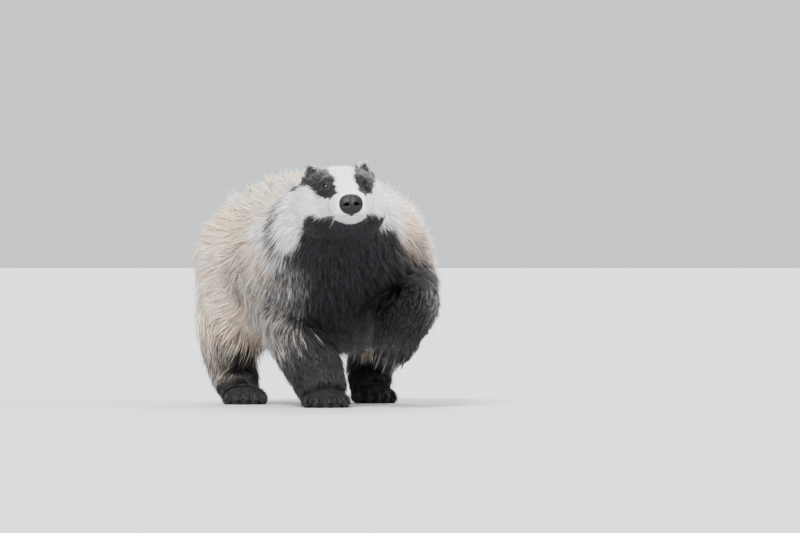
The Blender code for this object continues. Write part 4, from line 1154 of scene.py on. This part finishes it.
def coat_piece(name, part, first, last, most, seed):
    """The tufts of one piece of the coat, as one mesh or, where short and long hair meet, two joined."""
    chance = np.random.default_rng(seed)
    mine = (owner == PART_NAMES.index(part)) & (centres[:, 1] >= first) & (centres[:, 1] < last) & ~bald
    # A tuft tapers, so it covers five eighths of its length times its width.
    wanted = (FACE_COVER if part == "head" else COVER) * 1.6 / (lengths * tuft_width(lengths))
    weight = areas * wanted * mine
    count = int(min(most, weight.sum()))
    chosen = np.sort(chance.choice(len(weight), size=count, p=weight / weight.sum()))
    mix = chance.dirichlet((1, 1, 1), count)
    roots = (skin_points[corners[chosen]] * mix[:, :, None]).sum(axis=1)
    normals = unit((skin_normals[corners[chosen]] * mix[:, :, None]).sum(axis=1))
    nearest, shares = stations(roots)
    length = lengths[chosen] * chance.uniform(0.72, 1.12, count)
    rise = SKIN_SHARE * taken("coat", nearest, shares) * chance.uniform(0.45, 1.0, count)
    guard = chance.random(count) < GUARD_SHARE
    length = length * np.where(guard, 1.2, 1.0)
    rise = rise * np.where(guard, chance.uniform(1.1, 1.4 if part == "head" else 1.8, count), 1.0)
    ways = lie(roots, normals, nearest, shares)
    swirl = 0.12 * ripple(roots, 0.06, 7) + chance.normal(0, 0.12, count)
    ways = unit(ways + np.cross(normals, ways) * swirl[:, None])
    tones = hair_tones(roots, shares, count, chance)
    tones[:, 3] = tones[:, 3] * np.where(guard, 1.03, 0.92)[:, None]
    tones[guard, 2] = 0.45 * tones[guard, 2] + 0.55 * tones[guard, 3]
    widths = tuft_width(length) * chance.uniform(0.7, 1.15, count) * np.where(guard, 0.55, 1.0)
    roll = chance.normal(0, 0.5, count)[:, None]
    spots = unwrapped(roots, nearest, part)
    meshes = []
    for long in (True, False):
        these = (length > LONG_HAIR) == long
        if not these.any():
            continue
        stops = (0, 0.34, 0.68, 1.0) if long else (0, 0.5, 1.0)
        path = combed(roots[these], normals[these], ways[these], length[these], rise[these], stops)
        spread, strength = (0.10, 0.55) if long else (0.12, 0.35)
        path = gathered(path, length[these], spread, strength, stops, chance)
        path[1:, :, 2] = np.maximum(path[1:, :, 2], SOLE + 0.0008)
        shown = tones[these]
        if not long:
            shown = np.stack([shown[:, 0], (shown[:, 1] + shown[:, 2]) / 2, shown[:, 3]], axis=1)
        made = tuft_mesh(name, path, normals[these], widths[these], roll[these], shown, spots[these])
        meshes.append(made)
    things = [bpy.data.objects.new(name, mesh) for mesh in meshes]
    for thing in things:
        bpy.context.scene.collection.objects.link(thing)
    if len(things) > 1:
        with bpy.context.temp_override(
            object=things[0], active_object=things[0], selected_editable_objects=things,
        ):
            bpy.ops.object.join()
    return things[0]


# Hair: smooth keratin with a soft gleam, strongest on the black legs and least on the short, dense hair
# of the face. Its colour turns paler and darker by turns every 4 mm, painted light and shade like that
# where real hairs part.

# Each slot's material, its roughness and its gleam
HAIR_LOOK = {
    "long_coat": ("banded winter guard hair", 0.48, 0.30),
    "dark_coat": ("black leg hair", 0.42, 0.38),
    "face_coat": ("short face hair", 0.52, 0.26),
}
hair_materials = {}
for slot, (words, roughness, gleam) in HAIR_LOOK.items():
    hair, tree = new_material(words)
    tone = add(tree, "ShaderNodeAttribute", {}, attribute_name="tone")
    place = add(tree, "ShaderNodeTexCoord", {})
    # Painted light and shade: streaks 4 mm across make the colour paler and darker.
    parting_shade = add(
        tree, "ShaderNodeTexNoise", {"Vector": place.outputs["Object"], "Scale": 1 / 0.004, "Detail": 2.0}
    )
    shade = add(
        tree, "ShaderNodeMapRange",
        {"Value": parting_shade.outputs["Fac"], "From Min": 0.3, "From Max": 0.7, "To Min": 0.88, "To Max": 1.08},
    )
    colour = add(
        tree, "ShaderNodeVectorMath", {"Vector": tone.outputs["Color"], "Scale": shade.outputs["Result"]},
        operation="SCALE",
    )
    surface = add(
        tree, "ShaderNodeBsdfPrincipled",
        {"Base Color": colour.outputs["Vector"], "Roughness": roughness, "Specular IOR Level": gleam},
    )
    add(tree, "ShaderNodeOutputMaterial", {"Surface": surface.outputs["BSDF"]})
    hair_materials[slot] = hair

# Trunk and tail have the long coat and the head the short one; legs and ears have the dark one.
SLOTS = {"trunk": "long_coat", "tail": "long_coat", "head": "face_coat"}
for seed, (name, (part, first, last, most)) in enumerate(COATS.items()):
    piece = coat_piece(name, part, first, last, most, 100 + seed)
    slot = SLOTS.get(part, "dark_coat")
    piece.data.materials.append(hair_materials[slot])
    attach(piece, "root")


# The whiskers: stiff pale bristles on both sides of the upper lip, set singly in the skin, tapering to
# a fine point and bending back under their own weight.

# Where they root on the left side, in the head's axes, their shortest and longest, radius and joints
WHISKER_ROOTS = (
    (0.0125, 0.0200, -0.0070), (0.0140, 0.0245, -0.0095), (0.0150, 0.0290, -0.0070),
    (0.0155, 0.0270, -0.0115), (0.0160, 0.0335, -0.0100), (0.0165, 0.0380, -0.0085),
    (0.0150, 0.0230, -0.0040), (0.0160, 0.0340, -0.0050),
)
WHISKER_LENGTH = (0.016, 0.030)
WHISKER_RADIUS = 0.00015
WHISKER_STEPS = 6


def whisker_shape(root, way, length):
    """A tapering bristle that droops along its length."""
    rings, place = [], Vector(root)
    for k in range(WHISKER_STEPS + 1):
        part = k / WHISKER_STEPS
        radius = WHISKER_RADIUS * (1 - 0.85 * part)
        side = way.cross(UP).normalized()
        rings.append(oval(place, side, side.cross(way), radius, radius, radius, count=6))
        way = (way + Vector((0, 0.10, -0.07))).normalized()
        place = place + way * (length / WHISKER_STEPS)
    return tube(rings)


chance = np.random.default_rng(31)
bristles = []
head_tree = BVHTree.FromObject(skin, bpy.context.evaluated_depsgraph_get())
for sign in SIDES.values():
    for root in WHISKER_ROOTS:
        place, normal, _, _ = head_tree.find_nearest(MOVE + HEAD @ to_side(root, sign))
        place, normal = HEAD.inverted() @ (place - MOVE), HEAD_TURN.inverted().to_3x3() @ normal
        way = (normal * 0.8 + Vector((0, 0.85, 0.05)) + Vector(chance.normal(0, 0.10, 3))).normalized()
        bristles.append(whisker_shape(place - normal * 0.001, way, chance.uniform(*WHISKER_LENGTH)))
whiskers = assembled("whiskers", bristles, Matrix.Translation(MOVE) @ HEAD)
whiskers.data.shade_smooth()

# Whisker keratin: smooth and a little shiny, so each bristle catches a thin line of light, and ivory
# with stretches of grey about 3 mm long.
bristle, tree = new_material("whisker keratin")
place = add(tree, "ShaderNodeTexCoord", {})
grain = add(tree, "ShaderNodeTexNoise", {"Vector": place.outputs["Object"], "Scale": 1 / 0.003})
colour = add(tree, "ShaderNodeMix", {"Factor": grain.outputs["Fac"]}, data_type="RGBA")
colour.inputs[6].default_value = (*linear("#B9B2A6"), 1)
colour.inputs[7].default_value = (*linear("#E9E4DA"), 1)
surface = add(
    tree, "ShaderNodeBsdfPrincipled",
    {"Base Color": colour.outputs[2], "Roughness": 0.35, "Specular IOR Level": 0.5},
)
add(tree, "ShaderNodeOutputMaterial", {"Surface": surface.outputs["BSDF"]})
whiskers.data.materials.append(bristle)
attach(whiskers, "root")


# The nose pad: bare, moist, pebbled skin over gristle, with comma-shaped nostrils that run out to the
# sides, a rolled rim above each and a groove down the middle to the lip.

# The pad's middle and radii in the head's axes, how square it is, and each nostril's line from the
# inside out, as (across, up), with the half width along it and its depth
PAD_CENTRE = (0, 0.0098, -0.0005)
PAD_RADII = (0.0154, 0.0112, 0.0131)
PAD_SQUARING = 0.88
NOSTRIL = ((0.0055, -0.0008), (0.0068, -0.0010), (0.0098, -0.0014), (0.0136, -0.0012))
NOSTRIL_WIDTH = (0.0032, 0.0027, 0.0007, 0.0004)
NOSTRIL_DEPTH = 0.0058
pad_shape = bmesh.new()
bmesh.ops.create_icosphere(pad_shape, subdivisions=6, radius=1.0)
pad_mesh = bpy.data.meshes.new("nose_pad")
pad_shape.to_mesh(pad_mesh)
pad_shape.free()
ball_points = vertices_of(pad_mesh)
squared = np.sign(ball_points) * np.abs(ball_points) ** PAD_SQUARING
pad_points = squared * PAD_RADII + PAD_CENTRE
front = step(0.1, -0.35, ball_points[:, 1])
x, z = np.abs(pad_points[:, 0]), pad_points[:, 2]
reach = np.full(len(x), 9.0)
track = np.array(NOSTRIL)
for (one, two), (wide, narrow) in zip(zip(track, track[1:]), zip(NOSTRIL_WIDTH, NOSTRIL_WIDTH[1:])):
    for part in np.arange(15) / 14:
        spot = one + (two - one) * part
        away = np.hypot(x - spot[0], (z - spot[1]) * 1.15)
        reach = np.minimum(reach, away / (wide + (narrow - wide) * part))
# The nostrils are pressed in behind a rolled rim, and the groove between them opens upwards to a dip.
hole = front * (1 - step(0.25, 1.0, reach)) * np.interp(x, (0.006, 0.0135), (1.0, 0.35))
rim = front * np.exp(-((reach - 1.35) ** 2) / 0.10)
pad_points[:, 1] += NOSTRIL_DEPTH * hole - 0.0003 * rim
groove = front * np.exp(-((x / 0.0008) ** 2)) * step(0.001, -0.004, z)
pad_points[:, 1] += 0.0013 * groove
pad_points[:, 1] += 0.0007 * front * np.exp(-((x / 0.0022) ** 2)) * step(-0.004, 0.004, z)
pad_mesh.vertices.foreach_set("co", pad_points.astype(np.float32).ravel())
# Painted shade: the colour goes near black down in the nostrils' hollows.
painted(pad_mesh, np.repeat(1 - 0.94 * front * (1 - step(0.55, 1.10, reach)), 3).reshape(-1, 3))
nose = bpy.data.objects.new("nose_pad", pad_mesh)
bpy.context.scene.collection.objects.link(nose)
pad_mesh.shade_smooth()
pad_mesh.transform(Matrix.Translation(MOVE) @ HEAD)

# Nose leather: near black and damp, so it takes a soft sheen over pebbles 0.9 mm across. Down in the
# nostrils its colour is darkened further with painted shade.
leather, tree = new_material("moist nose leather")
place = add(tree, "ShaderNodeTexCoord", {})
pebble = add(tree, "ShaderNodeTexVoronoi", {"Vector": place.outputs["Object"], "Scale": 1 / 0.0009})
mottle = add(
    tree, "ShaderNodeTexNoise", {"Vector": place.outputs["Object"], "Scale": 1 / 0.005, "Detail": 4.0}
)
colour = add(tree, "ShaderNodeMix", {"Factor": mottle.outputs["Fac"]}, data_type="RGBA")
colour.inputs[6].default_value = (*linear("#0B0A0C"), 1)
colour.inputs[7].default_value = (*linear("#1F1D20"), 1)
bump = add(
    tree, "ShaderNodeBump", {"Height": pebble.outputs["Distance"], "Distance": 0.00028, "Strength": 0.7}
)
bump.invert = True
# The tone attribute here carries the nostrils' painted shade.
nostril_shade = add(tree, "ShaderNodeAttribute", {}, attribute_name="tone")
shaded = add(
    tree, "ShaderNodeVectorMath", {"Vector": colour.outputs[2], "Scale": nostril_shade.outputs["Fac"]},
    operation="SCALE",
)
surface = add(
    tree, "ShaderNodeBsdfPrincipled",
    {"Base Color": shaded.outputs["Vector"], "Roughness": 0.55, "Specular IOR Level": 0.22,
     "Normal": bump.outputs["Normal"]},
)
add(tree, "ShaderNodeOutputMaterial", {"Surface": surface.outputs["BSDF"]})
pad_mesh.materials.append(leather)
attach(nose, "root")
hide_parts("nose")


# The eyes: wet dark balls seated in their lids. Each is a globe with a slight bulge in front, over a
# dark brown iris and a black pupil.
IRIS_RADIUS = 0.0040
PUPIL_RADIUS = 0.0019
CORNEA_RISE = 0.0005
# The pupil, the inside and the outside of the iris, and the dark rim round it
EYE_TONES = ("#020202", "#150B06", "#0A0503", "#0F0B09")
# Points round each ring of a globe, and steps from the pupil's middle to the point behind
GLOBE_POINTS = 96
GLOBE_STEPS = 64


def globe_shape():
    """An eye's ball about z, made ring by ring so that its faces keep one order in every run."""
    rings = []
    for tilt in np.arange(1, GLOBE_STEPS) * math.pi / GLOBE_STEPS:
        reach, height = EYE_RADIUS * math.sin(tilt), EYE_RADIUS * math.cos(tilt)
        rings.append(oval(UP * height, OUT, BACK, reach, reach, reach, count=GLOBE_POINTS))
    made = tube(rings)
    # The middles of both ends move out to the ball.
    made.verts.ensure_lookup_table()
    made.verts[-2].co.z, made.verts[-1].co.z = EYE_RADIUS, -EYE_RADIUS
    return made


for side, sign in SIDES.items():
    globe = globe_shape()
    eye_mesh = bpy.data.meshes.new("eyeball_" + side)
    globe.to_mesh(eye_mesh)
    globe.free()
    points = vertices_of(eye_mesh)
    reach = np.hypot(points[:, 0], points[:, 1])
    before = points[:, 2] > 0
    points[:, 2] += CORNEA_RISE * before * (1 - step(0.0, IRIS_RADIUS, reach))
    eye_mesh.vertices.foreach_set("co", points.astype(np.float32).ravel())
    stops = (0, PUPIL_RADIUS * 0.92, PUPIL_RADIUS * 1.08, IRIS_RADIUS * 0.85, IRIS_RADIUS, 1)
    tones = np.array([linear(EYE_TONES[k]) for k in (0, 0, 1, 2, 3, 3)])
    colours = np.stack([np.interp(reach, stops, tones[:, k]) for k in range(3)], axis=1)
    fibre = 1 + 0.35 * np.sin(np.arctan2(points[:, 1], points[:, 0]) * 41 + 3 * np.sin(reach * 4000))
    ring = (reach > PUPIL_RADIUS) & (reach < IRIS_RADIUS)
    colours *= np.where(ring, fibre, 1.0)[:, None]
    painted(eye_mesh, colours)
    eye_mesh.shade_smooth()
    eye_mesh.transform(Matrix.Translation(MOVE) @ HEAD @ eye_axes(sign))
    # An eye's wet film: clear and smooth over near black, so each eye takes one small sharp light.
    wet, tree = new_material("wet eye " + side)
    tone = add(tree, "ShaderNodeAttribute", {}, attribute_name="tone")
    surface = add(
        tree, "ShaderNodeBsdfPrincipled",
        {"Base Color": tone.outputs["Color"], "Roughness": 0.35, "Specular IOR Level": 0.0,
         "Coat Weight": 0.7, "Coat Roughness": 0.02, "Coat IOR": 1.376},
    )
    add(tree, "ShaderNodeOutputMaterial", {"Surface": surface.outputs["BSDF"]})
    eye_mesh.materials.append(wet)
    eye = bpy.data.objects.new("eyeball_" + side, eye_mesh)
    bpy.context.scene.collection.objects.link(eye)
    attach(eye, "root")
    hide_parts("eye_" + side)


# The claws: curved blades of horn on each toe, long and blunt in front for digging and shorter behind,
# worn uneven along their length and set in the toe's end under the hair.

# Where a claw starts, along and above its toe; for fore and hind claws the length, the radius at the root
# and the bend in degrees; the length of the outer toes' claws as a share; and the tones from root to tip
CLAW_START = (0.0160, 0.0020)
CLAWS = {"fore": (0.0280, 0.0030, 34.0), "hind": (0.0140, 0.0026, 52.0)}
OUTER_CLAW = 0.8
CLAW_RINGS = 18
CLAW_SIDES = 14
CLAW_TONES = ("#0E0D0C", "#171513", "#2A2724")

# Claw horn: near black with a dull shine, a little browner towards the tip, and uneven at about 1.1 mm.
horn, tree = new_material("claw horn")
tone = add(tree, "ShaderNodeAttribute", {}, attribute_name="tone")
place = add(tree, "ShaderNodeTexCoord", {})
rib = add(
    tree, "ShaderNodeTexNoise", {"Vector": place.outputs["Object"], "Scale": 1 / 0.0011, "Detail": 3.0}
)
shade = add(
    tree, "ShaderNodeMapRange",
    {"Value": rib.outputs["Fac"], "From Min": 0.3, "From Max": 0.7, "To Min": 0.8, "To Max": 1.1},
)
colour = add(
    tree, "ShaderNodeVectorMath", {"Vector": tone.outputs["Color"], "Scale": shade.outputs["Result"]},
    operation="SCALE",
)
bump = add(tree, "ShaderNodeBump", {"Height": rib.outputs["Fac"], "Distance": 0.0002, "Strength": 0.5})
surface = add(
    tree, "ShaderNodeBsdfPrincipled",
    {"Base Color": colour.outputs["Vector"], "Roughness": 0.50, "IOR": 1.54, "Specular IOR Level": 0.25,
     "Normal": bump.outputs["Normal"]},
)
add(tree, "ShaderNodeOutputMaterial", {"Surface": surface.outputs["BSDF"]})


def claw_rings(length, radius, droop):
    """Rings along an arc that bends down by the droop, deeper than wide and drawn to a blunt point."""
    place, rings = Vector((0, *CLAW_START)), []
    for k in range(CLAW_RINGS + 1):
        part = k / CLAW_RINGS
        angle = math.radians(8 - droop * part)
        ahead = Vector((0, math.cos(angle), math.sin(angle)))
        size = radius * (1 - 0.55 * part) * math.sqrt(max(1 - part**7, 0.02))
        rings.append(oval(place, OUT, OUT.cross(ahead), size * 0.78, size * 1.15, size, CLAW_SIDES))
        place = place + ahead * (length / CLAW_RINGS)
    return rings


for name, paw in PAWS.items():
    length, radius, droop = CLAWS[name.split("_")[0]]
    shapes = []
    for k, axes in enumerate(toe_axes(paw)):
        size = OUTER_CLAW if k in (0, TOES - 1) else 1.0
        shape = tube(claw_rings(length * size, radius, droop))
        shape.transform(axes)
        shapes.append(shape)
    claws = assembled("claws_" + name, shapes, Matrix.Translation(MOVE))
    points = vertices_of(claws.data)
    count = len(points) // TOES
    part = np.minimum((np.arange(len(points)) % count) // CLAW_SIDES / CLAW_RINGS, 1.0)
    tones = np.array([linear(tone) for tone in CLAW_TONES])
    painted(claws.data, np.stack([np.interp(part, (0, 0.4, 1), tones[:, k]) for k in range(3)], axis=1))
    claws.data.shade_smooth()
    claws.data.materials.append(horn)
    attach(claws, "root")
    foot, side = name.split("_")
    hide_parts(*(f"claw_{foot}_{side}_{k + 1}" for k in range(TOES)))


# The room: a plain pale floor that runs to the horizon, a pale sky and soft lights.
FLOOR_REACH = 900.0
floor_shape = bmesh.new()
bmesh.ops.create_grid(floor_shape, x_segments=24, y_segments=24, size=FLOOR_REACH)
floor_mesh = bpy.data.meshes.new("floor")
floor_shape.to_mesh(floor_mesh)
floor_shape.free()
floor = bpy.data.objects.new("floor", floor_mesh)
bpy.context.scene.collection.objects.link(floor)

# Floor paint: pale, matt and nearly even, so that it takes only soft shadows.
paint, tree = new_material("matt studio floor paint")
place = add(tree, "ShaderNodeTexCoord", {})
grain = add(tree, "ShaderNodeTexNoise", {"Vector": place.outputs["Object"], "Scale": 1.5, "Detail": 4.0})
colour = add(tree, "ShaderNodeMix", {"Factor": grain.outputs["Fac"]}, data_type="RGBA")
colour.inputs[6].default_value = (*linear("#A7A9AC"), 1)
colour.inputs[7].default_value = (*linear("#ADAFB2"), 1)
surface = add(tree, "ShaderNodeBsdfPrincipled", {"Base Color": colour.outputs[2], "Roughness": 0.8})
add(tree, "ShaderNodeOutputMaterial", {"Surface": surface.outputs["BSDF"]})
floor_mesh.materials.append(paint)

world = bpy.data.worlds.new("studio")
bpy.context.scene.world = world
world.use_nodes = True
world.node_tree.nodes["Background"].inputs["Color"].default_value = (*linear("#B9BDC1"), 1)
world.node_tree.nodes["Background"].inputs["Strength"].default_value = 2.0
# Each light: where it comes from, its spread in degrees and its strength
LIGHTS = {
    "key": ((-1.4, -2.8, 2.6), 17.0, 10.8),
    "fill": ((2.8, -2.0, 1.4), 50.0, 5.2),
    "rim": ((0.8, 2.6, 2.4), 40.0, 4.4),
}
for name, (place, spread, strength) in LIGHTS.items():
    lamp = bpy.data.lights.new(name, "SUN")
    lamp.angle, lamp.energy = math.radians(spread), strength
    light = bpy.data.objects.new(name, lamp)
    light.location = place
    light.rotation_mode = "QUATERNION"
    light.rotation_quaternion = Vector(place).to_track_quat("Z", "Y")
    # The fill leaves no second light in eyes and nose.
    light.visible_glossy = name != "fill"
    bpy.context.scene.collection.objects.link(light)
